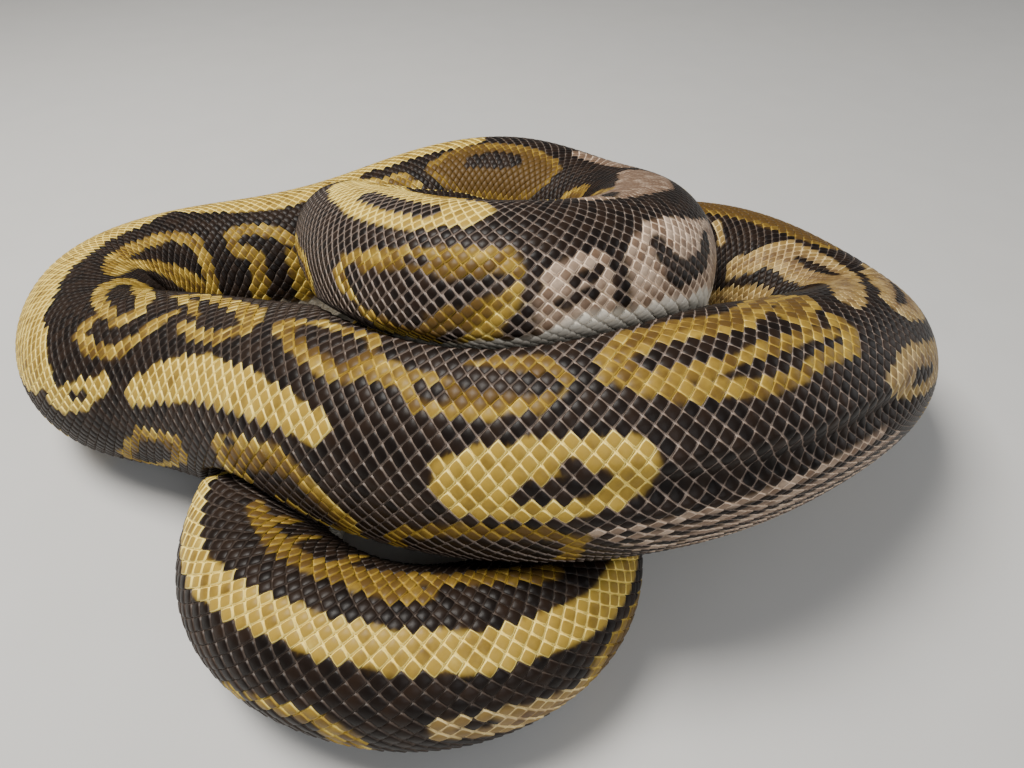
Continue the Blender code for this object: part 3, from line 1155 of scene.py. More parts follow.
@dataclass
class Scales(Layer):
    """Scales laid over the skin as joined meshes.

    Attributes:
        face: The lips and eyes of the head, whose plates take the place of scales.
    """

    face: "Face"

    # The plate: points round each ring, the rings' radii, the height over the skin at each radius,
    # and how much a radius counts as the edge.
    seed = 17
    segments = 12
    rings = (1.0, 0.90, 0.73)
    heights = ((0.0, 0.58), (0.73, 0.51), (0.90, 0.37), (1.0, 0.02))
    edges = ((0.73, 0.0), (0.90, 0.8), (1.0, 1.0))
    # Share of its place that a scale fills, how much that varies, and how far its middle strays.
    fill = 0.95
    sizes = (0.97, 1.03)
    stray = 0.022
    # Power of the outline on the body and on the head, and where the one turns into the other.
    power = 1.16
    head_power = 1.6
    head_fill = 0.86
    head_ends = (40, 85)
    # Where the surface is drawn out or crowded, a scale is shorter in counts, within these limits.
    most_stretch = 1.16
    least_stretch = 0.05
    # How much thinner small scales are, and how far the hind edge rises and the front edge sinks.
    full_size = 4.4
    least_lift = 0.45
    hind_lift = 0.14
    flank_lift = 0.22
    flank = (25, 80)
    front_sink = 0.14
    # How far each point's colour follows the point from the scale's middle.
    follow = 0.34

    def __post_init__(self) -> None:
        """Draw the plate that every scale is made from."""
        self.plate = Plate(self.segments, self.rings)

    def lay(self, name: str, start: float, end: float) -> Shell:
        """Lay the scales of one stretch of the body.

        Args:
            name: The name of the piece.
            start: Distance from the snout at which the stretch starts.
            end: Distance at which it ends.

        Returns:
            The joined scales.
        """
        lattice, surface, plate = self.lattice, self.surface, self.plate
        random = np.random.default_rng(int(start) + self.seed)
        count, row = lattice.centres(start, end)
        along = lattice.along(count)
        angle = lattice.angle(along, row)
        kept = self._kept(along, angle)
        count, row, along, angle = count[kept], row[kept], along[kept], angle[kept]
        total = len(count)
        stretch = np.maximum(surface.lookup(lattice.stretch, along, angle), self.least_stretch)
        length = 0.5 * self.fill * np.minimum(1.0, self.most_stretch / stretch)
        length = length * random.uniform(*self.sizes, total)
        width = self.fill * random.uniform(*self.sizes, total)
        body = smooth(*self.head_ends, along)[:, None, None]
        shape = body * plate.outline(self.power)
        shape = shape + (1 - body) * plate.outline(self.head_power) * self.head_fill
        count = count + random.uniform(-self.stray, self.stray, total)
        row = row + random.uniform(-self.stray, self.stray, total)
        ahead = np.clip(count[:, None] + length[:, None] * shape[:, :, 0], 0, lattice.count[-1])
        places = lattice.along(ahead)
        angles = lattice.angle(places, row[:, None] + width[:, None] * shape[:, :, 1])
        points = surface.place(places, angles, self._lift(along, angle, shape[:, :, 0]) - skin_depth(places))
        points[..., 2] = np.maximum(points[..., 2], 0.0)
        seen_along = along[:, None] + self.follow * (places - along[:, None])
        seen_angle = angle[:, None] + self.follow * (angles - angle[:, None])
        marking = self.markings.at(seen_along.ravel(), seen_angle.ravel())
        grain = channels(random.uniform(0, 1, total)[:, None], read(self.edges, plate.radius)[None],
                         read(NET, along)[:, None], random.uniform(0, 1, total)[:, None])
        unwrap = channels((along - start) / (end - start), (angle + 180) / 360)
        unwrap = np.clip(unwrap, MARGIN, 1 - MARGIN)[:, None] + PATCH * PATCH_FILL * shape
        return Shell(name, points, plate.copies(total), marking, grain, unwrap)

    def _lift(self, along: Array, angle: Array, ahead: Array) -> Array:
        """Work out how far the points of scales stand over the skin.

        Args:
            along: Distances of the scales from the snout.
            angle: The scales' angles from the back.
            ahead: How far each point lies behind or before its scale's middle, from -1 to 1.

        Returns:
            The height of each point of each scale.
        """
        size = np.minimum(1.0, np.interp(along, self.surface.along, self.lattice.pitch) / self.full_size)
        size = size[:, None]
        lift = read(self.heights, self.plate.radius)[None] * (self.least_lift + (1 - self.least_lift) * size)
        raised = self.hind_lift + self.flank_lift * smooth(*self.flank, np.abs(angle))
        lift = lift + raised[:, None] * size * np.clip(ahead, 0, 1)
        return lift + self.front_sink * np.clip(ahead, -1, 0) * size

    def _kept(self, along: Array, angle: Array) -> Array:
        """Find the scales that aren't in the way of the head's plates.

        Args:
            along: Distances of the scales from the snout.
            angle: Their angles from the back.

        Returns:
            Which scales are kept.
        """
        face = self.face
        points = self.surface.place(along, angle)
        over_lip = face.local(along, points)[1] - face.lip_height(along)
        low, high = face.lips_clear
        taken = (along < face.lip_end + face.corner_clear) & (over_lip > low) & (over_lip < high)
        for sign in (-1, 1):
            taken |= np.linalg.norm(points - face.eye_middle(sign), axis=-1) < face.eye_clear
        for place, long, turn, broad in face.boxes_clear:
            taken |= (np.abs(along - place) < long) & (np.abs(np.abs(angle) - turn) < broad)
        return ~taken


class Scutes(Layer):
    """The broad scales under the belly and tail, each lapping over the next."""

    start = 62.0
    across = 22
    # Places from the front edge to the hind one, in scales, and the height at each.
    profile = ((-0.62, -0.25), (-0.5, 0.18), (-0.1, 0.38), (0.36, 0.54), (0.48, 0.50), (0.54, -0.1))
    # How far the ends of a scute lie ahead of its middle, and how they are tucked in.
    bow = 0.32
    bow_share = 0.8
    tuck = 0.35
    tuck_start = 0.86
    # How sharply a scute's edge shows, and the share of the unwrap that all of them are spread over.
    edge_power = 3
    span = 0.99
    seed = 5
    net = 0.1

    def lay(self, name: str) -> Shell:
        """Lay all of the scutes.

        Args:
            name: The name of the piece.

        Returns:
            The joined scutes.
        """
        lattice, surface = self.lattice, self.surface
        first = math.ceil(float(np.interp(self.start, surface.along, lattice.count)))
        counts = np.arange(first, math.floor(lattice.count[-1]) - 1)
        down, lift = np.array(self.profile).T
        over = np.linspace(-1, 1, self.across + 1)
        along = lattice.along(counts)
        bow = self.bow * over ** 2
        ahead = counts[:, None, None] + down[None, :, None] - bow[None, None] * self.bow_share
        places = lattice.along(np.clip(ahead, 0, lattice.count[-1]))
        angles = np.broadcast_to(180 + over * (180 - DORSAL_SHARE * 180), places.shape)
        tuck = self.tuck * smooth(self.tuck_start, 1.0, np.abs(over))
        height = lift[None, :, None] - tuck[None, None] - SKIN_DEPTH
        points = surface.place(places, angles, np.broadcast_to(height, places.shape))
        points[..., 2] = np.maximum(points[..., 2], 0.0)
        random = np.random.default_rng(self.seed)
        marking = self.markings.at(places.ravel(), ((angles.ravel() + 180) % 360) - 180)
        grain = channels(random.uniform(0, 1, len(counts))[:, None, None],
                         (np.abs(down) / np.abs(down).max())[None, :, None] ** self.edge_power,
                         np.full(places.shape, self.net), random.uniform(0, 1, len(counts))[:, None, None])
        rows, columns = len(down), len(over)
        corner = (np.arange(rows - 1)[:, None] * columns + np.arange(columns - 1)[None]).ravel()
        quad = channels(corner, corner + columns, corner + columns + 1, corner + 1)
        faces = quad[None] + (np.arange(len(counts)) * rows * columns)[:, None, None]
        share = ((along - along[0]) / (along[-1] - along[0]))[:, None, None]
        unwrap = channels(MARGIN + self.span * share + PATCH * down[None, :, None],
                          0.5 + PATCH * over[None, None])
        return Shell(name, points, faces, marking, grain, unwrap)


class Skin(Layer):
    """The one skin under the scales, from the snout to the tip of the tail."""

    # Columns and rows, laid out as the surface's are, and how near points are joined.
    columns = 120
    snout = (0.0, 0.05, 0.15, 0.3, 0.55, 0.85)
    head_start = 1.2
    head_step = 0.42
    head_end = 60.0
    body_step = 1.95
    tail = (4.0, 2.6, 1.6, 0.9, 0.4, 0.15, 0.0)
    weld = 1e-7

    def _stations(self) -> Array:
        """Place the skin's rings.

        Returns:
            Their distances from the snout.
        """
        length = self.surface.spine.length
        end = length - self.tail[0]
        head = np.arange(self.head_start, self.head_end, self.head_step)
        body = np.linspace(self.head_end, end, round((end - self.head_end) / self.body_step))
        return np.concatenate((self.snout, head, body, length - np.array(self.tail[1:])))

    def build(self, name: str, sculpt: Callable[[Array, Array, Array], Array]) -> bpy.types.Object:
        """Make the skin.

        Args:
            name: The name of the piece.
            sculpt: Changes the points of the head, given distances, angles and points.

        Returns:
            The skin, in the scene.
        """
        stations = self._stations()
        mesh = bmesh.new()
        bmesh.ops.create_grid(mesh, x_segments=len(stations) - 1, y_segments=self.columns, size=1.0)
        data, flat = written(name, mesh)
        grid = (flat[:, :2] + 1) / 2
        along = stations[np.rint(grid[:, 0] * (len(stations) - 1)).astype(int)]
        angle = grid[:, 1] * 360 - 180
        points = sculpt(along, angle, self.surface.place(along, angle, -skin_depth(along)))
        data.vertices.foreach_set("co", (points * MM).ravel())
        keep(data, "marking", self.markings.at(*self.lattice.nearest(along, angle)))
        keep(data, "grain", channels(0.5, 1.0, read(NET, along), 0.5))
        mesh.clear()
        mesh.from_mesh(data)
        bmesh.ops.remove_doubles(mesh, verts=mesh.verts, dist=self.weld)
        bmesh.ops.recalc_face_normals(mesh, faces=mesh.faces)
        mesh.to_mesh(data)
        mesh.free()
        data.shade_smooth()
        return put(name, data)


# ---------------------------------------------------------------- the head

EYE_RADIUS = 2.7
# Where the eyes are: along the head, to the side of its middle line and over it.
EYE_ALONG = 15.0
EYE_OUT = 7.6
EYE_UP = 3.4
# Height of the line of the mouth over the head's middle line, at distances from the snout.
LIP = ((0, -1.2), (8, -1.9), (20, -2.6), (32, -2.3), (38, -1.5))
# Middles of the lips' scales along each lip, from the middle of the snout.
SUPRALABIALS = (3.9, 6.8, 9.8, 12.9, 16.2, 19.6, 23.1, 26.6, 30.1, 33.6, 37.0)
INFRALABIALS = (3.4, 6.0, 8.8, 11.8, 14.9, 18.1, 21.4, 24.7, 28.0, 31.3, 34.6, 37.8)
# How many of the upper lip's scales have a heat pit.
PITTED = 4
# Plates of the snout and brow: distance, angle, half the length and width, and the outline's power.
SNOUT_PLATES = (
    (2.9, 19, 1.60, 1.60, 2.6), (2.3, 58, 0.90, 1.35, 2.6), (5.7, 62, 1.10, 1.60, 2.6),
    (6.7, 19, 2.05, 2.35, 2.6), (10.3, 11, 1.50, 1.60, 2.6), (10.2, 31, 1.50, 1.55, 2.6),
    (7.2, 43, 1.75, 1.25, 2.6), (14.9, 41, 3.5, 1.45, 2.2),
)
# Distance and angle of a nostril, then depth and breadth of each form pressed into the skin.
NOSTRIL = (3.9, 52.0)
NOSTRIL_FORM = (1.3, 0.75)
PIT_FORM = (0.9, 0.85)
MOUTH_FORM = (0.62, 0.40)
# The raised rim of an eye: its radius, height and breadth.
RIM_RADIUS = 3.5
RIM_FORM = (0.45, 0.55)


class Face:
    """Where the lips, eyes, nostrils and heat pits of the head are."""

    # Where the lips' plates end, where the mouth fades out and where the shaped skin ends.
    lip_end = 38.0
    mouth_fades = (40.5, 36.0)
    shaped_end = HEAD_LENGTH + 6
    # The lower lip stops following the head where it is less than this deep.
    least_depth = 1.45
    # What plates keep clear of scales: heights over the mouth, a length behind its corner, a
    # distance from an eye's middle, and boxes of distance and angle, each with its half sizes.
    lips_clear = (-2.75, 3.05)
    corner_clear = 1.5
    eye_clear = 4.3
    boxes_clear = ((0, 5.0, 0, FAR), (0, 11.9, 0, 50), (14.9, 4.0, 43, 10.5))
    # Where the heat pits lie over the mouth and behind the middle of their scale.
    pit_up = 1.6
    pit_back = 0.3

    def __init__(self, surface: Surface) -> None:
        """Follow the line of the lips round the head.

        Args:
            surface: The body's outer surface.
        """
        self.surface = surface
        self.spine = surface.spine
        rows = [row for row, along in enumerate(surface.along)
                if along < self.lip_end and self.spine.half_sizes(float(along))[2] > self.least_depth]
        self.lip_along = surface.along[rows]
        half = surface.columns // 2
        turned = []
        for row in rows:
            along = np.full(half + 1, surface.along[row])
            _, height = self.local(along, surface.points[row, half:])
            turned.append(np.interp(-self.lip_height(along[:1]), -height, surface.angles[half:])[0])
        self.lip_angle = np.array(turned)

    def local(self, along: Array, points: Array) -> tuple[Array, Array]:
        """Return how far points lie to the side of the middle line and over it."""
        offset = points - self.spine.at("middle", along)
        across = (offset * self.spine.at("side", along)).sum(axis=-1)
        return across, (offset * self.spine.at("back", along)).sum(axis=-1)

    @staticmethod
    def lip_height(along: Array) -> Array:
        """Return the height of the line of the mouth over the middle line."""
        return read(LIP, along)

    def eye_middle(self, sign: int) -> Array:
        """Return the middle of an eye, on the side that the sign gives."""
        middle, side, back = self.spine.ways(EYE_ALONG, "middle", "side", "back")
        return middle + sign * EYE_OUT * side + EYE_UP * back

    def on_lip(self, sign: int, run: float, over: float) -> Array:
        """Find a point of the lips.

        Args:
            sign: The side of the head.
            run: Distance along the lip from the middle of the snout.
            over: Height over the line of the mouth.

        Returns:
            The point.
        """
        points = self.surface.place(self.lip_along, sign * self.lip_angle)
        across, _ = self.local(self.lip_along[:1], points[:1])
        runs = abs(float(across[0])) + running(lengths(points))
        along = float(np.interp(run, runs, self.lip_along))
        return read_rows(run, runs, points) + over * self.spine.at("back", along)

    def sculpt(self, along: Array, angle: Array, points: Array) -> Array:
        """Press the mouth, nostrils and pits into the skin and raise the eyes' rims.

        Args:
            along: Distances from the snout of the skin's points.
            angle: Their angles from the back.
            points: The points.

        Returns:
            The points, moved.
        """
        head = np.flatnonzero(along < self.shaped_end)
        places, skin = along[head], points[head]
        inward = -self.surface.lookup(self.surface.normals, places, angle[head])
        over_lip = self.local(places, skin)[1] - self.lip_height(places)
        deep, broad = MOUTH_FORM
        depth = deep * bump(over_lip, broad) * smooth(*self.mouth_fades, places)
        for sign in (-1, 1):
            place, turn = NOSTRIL
            nostril = self.surface.place(np.array([place]), np.array([sign * turn]))
            pits = [self.on_lip(sign, run + self.pit_back, self.pit_up) for run in SUPRALABIALS[:PITTED]]
            high, broad = RIM_FORM
            gap = np.linalg.norm(skin - self.eye_middle(sign), axis=1)
            depth -= high * bump(gap - RIM_RADIUS, broad)
            for middle, (deep, broad) in ((nostril, NOSTRIL_FORM), *((pit, PIT_FORM) for pit in pits)):
                depth += deep * bump(np.linalg.norm(skin - middle, axis=1), broad)
        moved = points.copy()
        moved[head] = skin + inward * depth[:, None]
        return moved


@dataclass(frozen=True)
class Spot:
    """Where one plate of the head lies.

    Attributes:
        middle: Its middle.
        ahead: The way its length runs.
        up: The way its height runs.
        half_length: Half its length.
        half_height: Half its height.
        power: Power of its outline, 1 being a diamond and 4 nearly a square.
        pitted: Whether a heat pit opens in it.
    """

    middle: Array
    ahead: Array
    up: Array
    half_length: float
    half_height: float
    power: float = 3.2
    pitted: bool = False


class HeadPlates:
    """The plates round the lips, nostrils and eyes and on top of the snout."""

    # The plate, given as that of the body's scales is.
    seed = 23
    segments = 24
    rings = (1.0, 0.93, 0.8, 0.62, 0.44, 0.26, 0.1)
    heights = ((0.0, 0.52), (0.6, 0.48), (0.8, 0.40), (0.93, 0.24), (1.0, -0.12))
    edges = ((0.8, 0.0), (0.93, 0.7), (1.0, 1.0))
    # The share of the height that the smallest plates have, and how it grows with their size.
    least_lift = 0.55
    size_lift = 0.3
    net = 0.25
    # Plates of the lips: height over the mouth and half height, above and below it.
    lips = ((SUPRALABIALS, 1.52, 1.26), (INFRALABIALS, -1.42, 1.12))
    lip_fill = 0.465
    lip_lean = 0.18
    lip_power = 3.4
    # The plates of the snout's tip: where they lie along and over it, half the breadth and height.
    tip = 0.4
    tip_plates = ((0.35, 2.15, 1.35), (-2.6, 1.7, 1.05))
    # The ring round an eye: places in it, those left out over it, and how its plates lie.
    ring_count = 10
    ring_gap = (60, 120)
    ring_out = 1.1
    ring_tilt = (0.92, 0.40)
    ring_radius = 3.45
    ring_size = (1.02, 0.86, 2.8)
    # The hollow of a heat pit on its plate, whose colour darkens to the ground inside it as painted
    # shade: its middle and breadth along and up, how steep it is and the lowest that a plate goes.
    # The nearest to the snout that a plate's colour is read.
    hollow = ((0.12, 0.34), (0.05, 0.42))
    steep = 1.5
    deepest = -0.12
    first_read = 0.3

    def __init__(self, face: Face, markings: Markings, skin: bpy.types.Object) -> None:
        """Keep what the plates are laid by.

        Args:
            face: Where the lips and eyes are.
            markings: The colours of the body.
            skin: The finished skin that the plates lie on.
        """
        self.face = face
        self.markings = markings
        self.plate = Plate(self.segments, self.rings)
        mesh = bmesh.new()
        mesh.from_mesh(skin.data)
        self.skin = BVHTree.FromBMesh(mesh)
        mesh.free()

    def _lip_spots(self, sign: int) -> list[Spot]:
        """Place the plates along both lips.

        Args:
            sign: The side of the head.

        Returns:
            The plates.
        """
        face, spots = self.face, []
        for places, over, half in self.lips:
            edges = [places[0] * 2 - (places[0] + places[1]) / 2]
            edges += [(a + b) / 2 for a, b in zip(places, places[1:])]
            edges.append(places[-1] * 2 - edges[-1])
            for number, (start, end) in enumerate(zip(edges, edges[1:])):
                along = (start + end) / 2
                back, forward = face.spine.ways(along, "back", "forward")
                ahead = face.on_lip(sign, end, over) - face.on_lip(sign, start, over)
                spots.append(Spot(face.on_lip(sign, along, over), unit(ahead), back + self.lip_lean * forward,
                                  (end - start) * self.lip_fill, half, self.lip_power,
                                  over > 0 and number < PITTED))
        return spots

    def _spot(self, along: float, angle: float, *size: float) -> Spot:
        """Place a plate on the body's surface, with its length along the head.

        Args:
            along: Distance from the snout.
            angle: Angle from the back.
            size: Half its length and width, and the power of its outline.

        Returns:
            The plate.
        """
        surface = self.face.surface
        here, beside = (surface.place(np.array([along]), np.array([angle + turn]))[0] for turn in (0.0, 2.0))
        return Spot(here, surface.spine.at("forward", along), unit(beside - here), *size)

    def _round_eye(self, sign: int) -> list[Spot]:
        """Place the ring of small plates round one eye.

        Args:
            sign: The side of the head.

        Returns:
            The plates, with none under the brow.
        """
        out, up, ahead = self.face.spine.ways(EYE_ALONG, "side", "back", "forward")
        out = out * sign
        tilted = up * self.ring_tilt[0] - out * self.ring_tilt[1]
        spots = []
        for number in range(self.ring_count):
            turn = 2 * math.pi * (number + 0.5) / self.ring_count
            if self.ring_gap[0] < math.degrees(turn) < self.ring_gap[1]:
                continue
            direction = math.cos(turn) * ahead + math.sin(turn) * tilted
            tangent = -math.sin(turn) * ahead + math.cos(turn) * tilted
            place = self.face.eye_middle(sign) + out * self.ring_out + direction * self.ring_radius
            spots.append(Spot(place, tangent, direction, *self.ring_size))
        return spots

    def spots(self) -> list[Spot]:
        """Place every plate of the head.

        Returns:
            The two plates of the snout's tip, then those of each side.
        """
        middle, side, back = self.face.spine.ways(self.tip, "middle", "side", "back")
        spots = [Spot(middle + over * back, side, back, *size) for over, *size in self.tip_plates]
        for sign in (-1, 1):
            spots += self._lip_spots(sign)
            spots += [self._spot(along, sign * angle, *size) for along, angle, *size in SNOUT_PLATES]
            spots += self._round_eye(sign)
        return spots

    def lay(self, name: str) -> Shell:
        """Lay every plate on the skin.

        Args:
            name: The name of the piece.

        Returns:
            The joined plates.
        """
        random = np.random.default_rng(self.seed)
        spots = self.spots()
        laid = [self._lay_one(spot, random.uniform(0, 1, 2)) for spot in spots]
        points, marking, grain, unwrap, mirrored = (np.array(part) for part in zip(*laid))
        faces = self.plate.copies(len(spots))
        faces[mirrored] = faces[mirrored][:, :, ::-1]
        return Shell(name, points, faces, marking, grain, unwrap)

    def _lay_one(self, spot: Spot, chance: Array) -> tuple[Array, Array, Array, Array, bool]:
        """Lay one plate on the skin.

        Args:
            spot: Where it lies.
            chance: Two random shares that vary its colour.

        Returns:
            Its points, markings, grain and unwrap, and whether its faces have to be turned over.
        """
        plate, spine = self.plate, self.face.spine
        shape = plate.outline(spot.power)
        lift = read(self.heights, plate.radius)
        lift = lift * min(1.0, self.least_lift + self.size_lift * min(spot.half_length, spot.half_height))
        x, y = ((shape[:, axis] - middle) / broad for axis, (middle, broad) in enumerate(self.hollow))
        hollow = np.exp(-(x ** 2 + y ** 2) ** self.steep) * float(spot.pitted)
        flat = spot.middle + spot.half_length * shape[:, :1] * spot.ahead
        flat = flat + spot.half_height * shape[:, 1:] * spot.up
        ground = np.array([self.skin.find_nearest(Vector(point * MM))[0] / MM for point in flat])
        outward = np.array(self.skin.find_nearest(Vector(spot.middle * MM))[1])
        points = ground + outward * np.maximum(lift - hollow, self.deepest)[:, None]
        nearest = np.argmin(np.linalg.norm(spine.middle[:HEAD_SPAN] - spot.middle, axis=1))
        along = np.full(len(points), max(self.first_read, float(nearest)))
        across, height = self.face.local(along, points)
        width, top, _ = spine.half_sizes(float(along[0]))
        middle = float(np.mean(np.degrees(np.arctan2(across / width, height / top))))
        # Inside a heat pit's hollow the markings fall away to the dark ground: painted shade in the pit.
        marking = self.markings.at(along, np.full(len(points), middle)) * (1 - hollow[:, None])
        grain = channels(chance[0], read(self.edges, plate.radius), self.net, chance[1])
        corner = np.clip((along[0] / HEAD_SPAN, (middle + 180) / 360), MARGIN, 1 - MARGIN)
        mirrored = bool(np.cross(spot.ahead, spot.up) @ outward < 0)
        return points, marking, grain, corner + PATCH * PATCH_FILL * shape, mirrored


# ---------------------------------------------------------------- finishes


class Value:
    """A shader socket that takes part in sums."""

    def __init__(self, nodes: "Nodes", socket: bpy.types.NodeSocket) -> None:
        """Keep the socket and the nodes that it belongs to."""
        self.nodes = nodes
        self.socket = socket

    def __add__(self, other: "Term") -> "Value":
        """Return the sum."""
        return self.nodes.sum("ADD", self, other)

    __radd__ = __add__

    def __sub__(self, other: "Term") -> "Value":
        """Return the difference."""
        return self.nodes.sum("SUBTRACT", self, other)

    def __mul__(self, other: "Term") -> "Value":
        """Return the product."""
        return self.nodes.sum("MULTIPLY", self, other)

    def __truediv__(self, other: "Term") -> "Value":
        """Return the quotient."""
        return self.nodes.sum("DIVIDE", self, other)

    def __pow__(self, other: float) -> "Value":
        """Return the power."""
        return self.nodes.sum("POWER", self, other)


Term = Value | float | Colour


class Nodes:
    """Makes the nodes of one material."""

    def __init__(self, name: str) -> None:
        """Start a material from its own shader."""
        self.material = bpy.data.materials.new(name)
        self.material.use_nodes = True
        self.tree = self.material.node_tree

    def node(self, kind: str, settings: dict[str, object] | None = None,
             inputs: dict[str | int, Term] | None = None) -> bpy.types.Node:
        """Make a node.

        Args:
            kind: The node's type, without its prefix.
            settings: Its properties, set before its inputs.
            inputs: Its inputs, as sockets or constants.

        Returns:
            The node.
        """
        made = self.tree.nodes.new("ShaderNode" + kind)
        for name, value in (settings or {}).items():
            setattr(made, name, value)
        self.feed(made, inputs or {})
        return made

    def feed(self, node: bpy.types.Node, inputs: dict[str | int, Term]) -> None:
        """Set a node's constant inputs, and link those that vary.

        Args:
            node: The node.
            inputs: Its inputs, as sockets or constants.
        """
        for name, value in inputs.items():
            socket = node.inputs[name]
            if isinstance(value, Value):
                self.tree.links.new(value.socket, socket)
            elif isinstance(value, tuple) and len(socket.default_value) == 4:
                socket.default_value = (*value, 1.0)
            else:
                socket.default_value = value

    def finish(self, inputs: dict[str | int, Term]) -> bpy.types.Material:
        """Feed the material's own shader, and return the material."""
        self.feed(self.tree.nodes["Principled BSDF"], inputs)
        return self.material

    def sum(self, operation: str, first: Term, second: Term) -> Value:
        """Return the result of a sum of two values."""
        made = self.node("Math", {"operation": operation}, {0: first, 1: second})
        return Value(self, made.outputs[0])

    def step(self, low: float, high: float, value: Value) -> Value:
        """Return a smooth step from 0 at low to 1 at high."""
        made = self.node("MapRange", {"interpolation_type": "SMOOTHSTEP"}, {0: value, 1: low, 2: high})
        return Value(self, made.outputs[0])

    def mix(self, share: Term, first: Term, second: Term) -> Value:
        """Return a colour between two."""
        made = self.node("Mix", {"data_type": "RGBA"}, {0: share, 6: first, 7: second})
        return Value(self, made.outputs[2])

    def attribute(self, name: str) -> tuple[Value, Value, Value, Value]:
        """Return the four channels of one of the mesh's own attributes."""
        made = self.node("Attribute", {"attribute_name": name})
        parts = self.node("SeparateColor", None, {0: Value(self, made.outputs["Color"])})
        red, green, blue = (Value(self, parts.outputs[i]) for i in range(3))
        return red, green, blue, Value(self, made.outputs["Alpha"])

    def noise(self, scale: float, detail: float) -> Value:
        """Return noise over the object, with scale in waves to a metre."""
        where = Value(self, self.node("TexCoord").outputs["Object"])
        made = self.node("TexNoise", None, {"Vector": where, "Scale": scale, "Detail": detail})
        return Value(self, made.outputs[0])


@dataclass(frozen=True)
class Hide:
    """How scales or skin are coloured and how they shine.

    Attributes:
        name: The material's name.
        shade: Share of light that colours lose, as skin between scales does.
        roughness: Roughness of the surface.
    """

    name: str
    shade: float = 0.0
    roughness: float = 0.36

    shine = 0.15
    mottle = (260.0, 3.0)
    # The dark ground and the pale net at the edges of its scales.
    ground = (0.0075, 0.0050, 0.0040)
    ground_brown = (0.022, 0.0125, 0.0078)
    net = (0.580, 0.455, 0.375)
    # How much a scale's tint and the mottle turn the ground brown, and between which values.
    brown_shares = (0.6, 0.5)
    brown_range = (0.25, 1.0)
    # How sharply and how plainly the net shows at an edge.
    net_power = 4.0
    net_strength = 0.85
    # Golden markings, from the darkest hue to the palest, and the tones between which each starts.
    fill = (0.100, 0.055, 0.014)
    golden = (0.395, 0.255, 0.040)
    rim = (0.950, 0.745, 0.200)
    golden_tones = (0.05, 0.60)
    rim_tones = (0.60, 1.00)
    # What changes the tone: a scale's own chance, the mottle, its edge by its hue and by itself, and
    # how much darker all of it is. The lighter edge is partly the scales' own pale rim and partly a
    # painted highlight along every scale's edge.
    tone_chance = 0.28
    tone_mottle = 0.5
    edge_tone_and_highlight = (0.90, 0.14)
    tone_drop = 0.19
    # Tan markings and the blush at the edges of their scales, and the belly.
    tan = (0.150, 0.092, 0.058)
    blush = (0.78, 0.60, 0.45)
    blush_range = (0.27, 1.05)
    # How much edge, mottle, chance and paleness bring out the blush.
    blush_shares = (0.75, 0.45, 0.25, 0.45)
    belly = (0.74, 0.68, 0.57)
    belly_range = (0.32, 1.0)
    shadow = (0.012, 0.008, 0.006)
    dulling = 0.10

    def build(self) -> bpy.types.Material:
        """Mix the colours by the attributes marking and grain.

        Returns:
            The material.
        """
        nodes = Nodes(self.name)
        warm, hue, tan, pale = nodes.attribute("marking")
        chance, edge, net, tint = nodes.attribute("grain")
        mottle = nodes.noise(*self.mottle)
        tinted, mottled = self.brown_shares
        brown = nodes.step(*self.brown_range, tint * tinted + mottle * mottled)
        ground = nodes.mix(brown, self.ground, self.ground_brown)
        ground = nodes.mix(net * edge ** self.net_power * self.net_strength, ground, self.net)
        tone = hue + (chance - 0.5) * self.tone_chance + (mottle - 0.5) * self.tone_mottle
        # Each scale is lighter at its edge: partly its own pale rim, partly a painted highlight.
        by_hue, by_itself = self.edge_tone_and_highlight
        tone = tone + edge * (hue * by_hue + by_itself) - self.tone_drop
        warmth = nodes.mix(nodes.step(*self.golden_tones, tone), self.fill, self.golden)
        warmth = nodes.mix(nodes.step(*self.rim_tones, tone), warmth, self.rim)
        by_edge, by_mottle, by_chance, by_paleness = self.blush_shares
        freckled = edge * by_edge + mottle * by_mottle + chance * by_chance + pale * by_paleness
        tanned = nodes.mix(nodes.step(*self.blush_range, freckled), self.tan, self.blush)
        warmth = nodes.mix(tan, warmth, tanned)
        warmth = nodes.mix(nodes.step(*self.belly_range, pale), warmth, self.belly)
        colour = nodes.mix(self.shade, nodes.mix(warm, ground, warmth), self.shadow)
        return nodes.finish({"Base Color": colour, "Roughness": self.roughness + mottle * self.dulling,
                             "Specular IOR Level": self.shine})


@dataclass(frozen=True)
class Eye:
    """The dark iris, the upright pupil and the wet gloss of an eye.

    Attributes:
        name: The material's name.
    """

    name: str

    pupil = (0.002, 0.002, 0.002)
    iris = (0.036, 0.020, 0.010)
    upper = (0.120, 0.072, 0.032)
    rim = (0.010, 0.007, 0.006)
    flecks = (1800.0, 4.0)
    # Between which heights the iris grows lighter, how much flecks change that, and which flecks
    # stay dark.
    lighter = (0.45, 0.72)
    fleck_share = 0.12
    fleck_range = (0.35, 0.75)
    # Half the pupil's breadth and height, in diameters of the eye, and the soft borders of the
    # pupil and of the rim.
    slit = (0.070, 0.235)
    slit_edge = (1.15, 0.85)
    rim_edge = (0.90, 0.84)
    roughness = 0.05
    gloss = 0.6

    def build(self) -> bpy.types.Material:
        """Mix the colours by the attribute gaze, which says how far ahead, up and out a point lies.

        Returns:
            The material.
        """
        nodes = Nodes(self.name)
        ahead, up, out, _ = nodes.attribute("gaze")
        flecks = nodes.noise(*self.flecks)
        iris = nodes.mix(nodes.step(*self.lighter, up + flecks * self.fleck_share), self.iris, self.upper)
        iris = nodes.mix(nodes.step(*self.fleck_range, flecks), iris, self.iris)
        across, along = (ahead - 0.5) / self.slit[0], (up - 0.5) / self.slit[1]
        pupil = nodes.step(*self.slit_edge, across * across + along * along)
        colour = nodes.mix(pupil, iris, self.pupil)
        colour = nodes.mix(nodes.step(*self.rim_edge, out), colour, self.rim)
        return nodes.finish({"Base Color": colour, "Roughness": self.roughness, "Coat Weight": self.gloss})


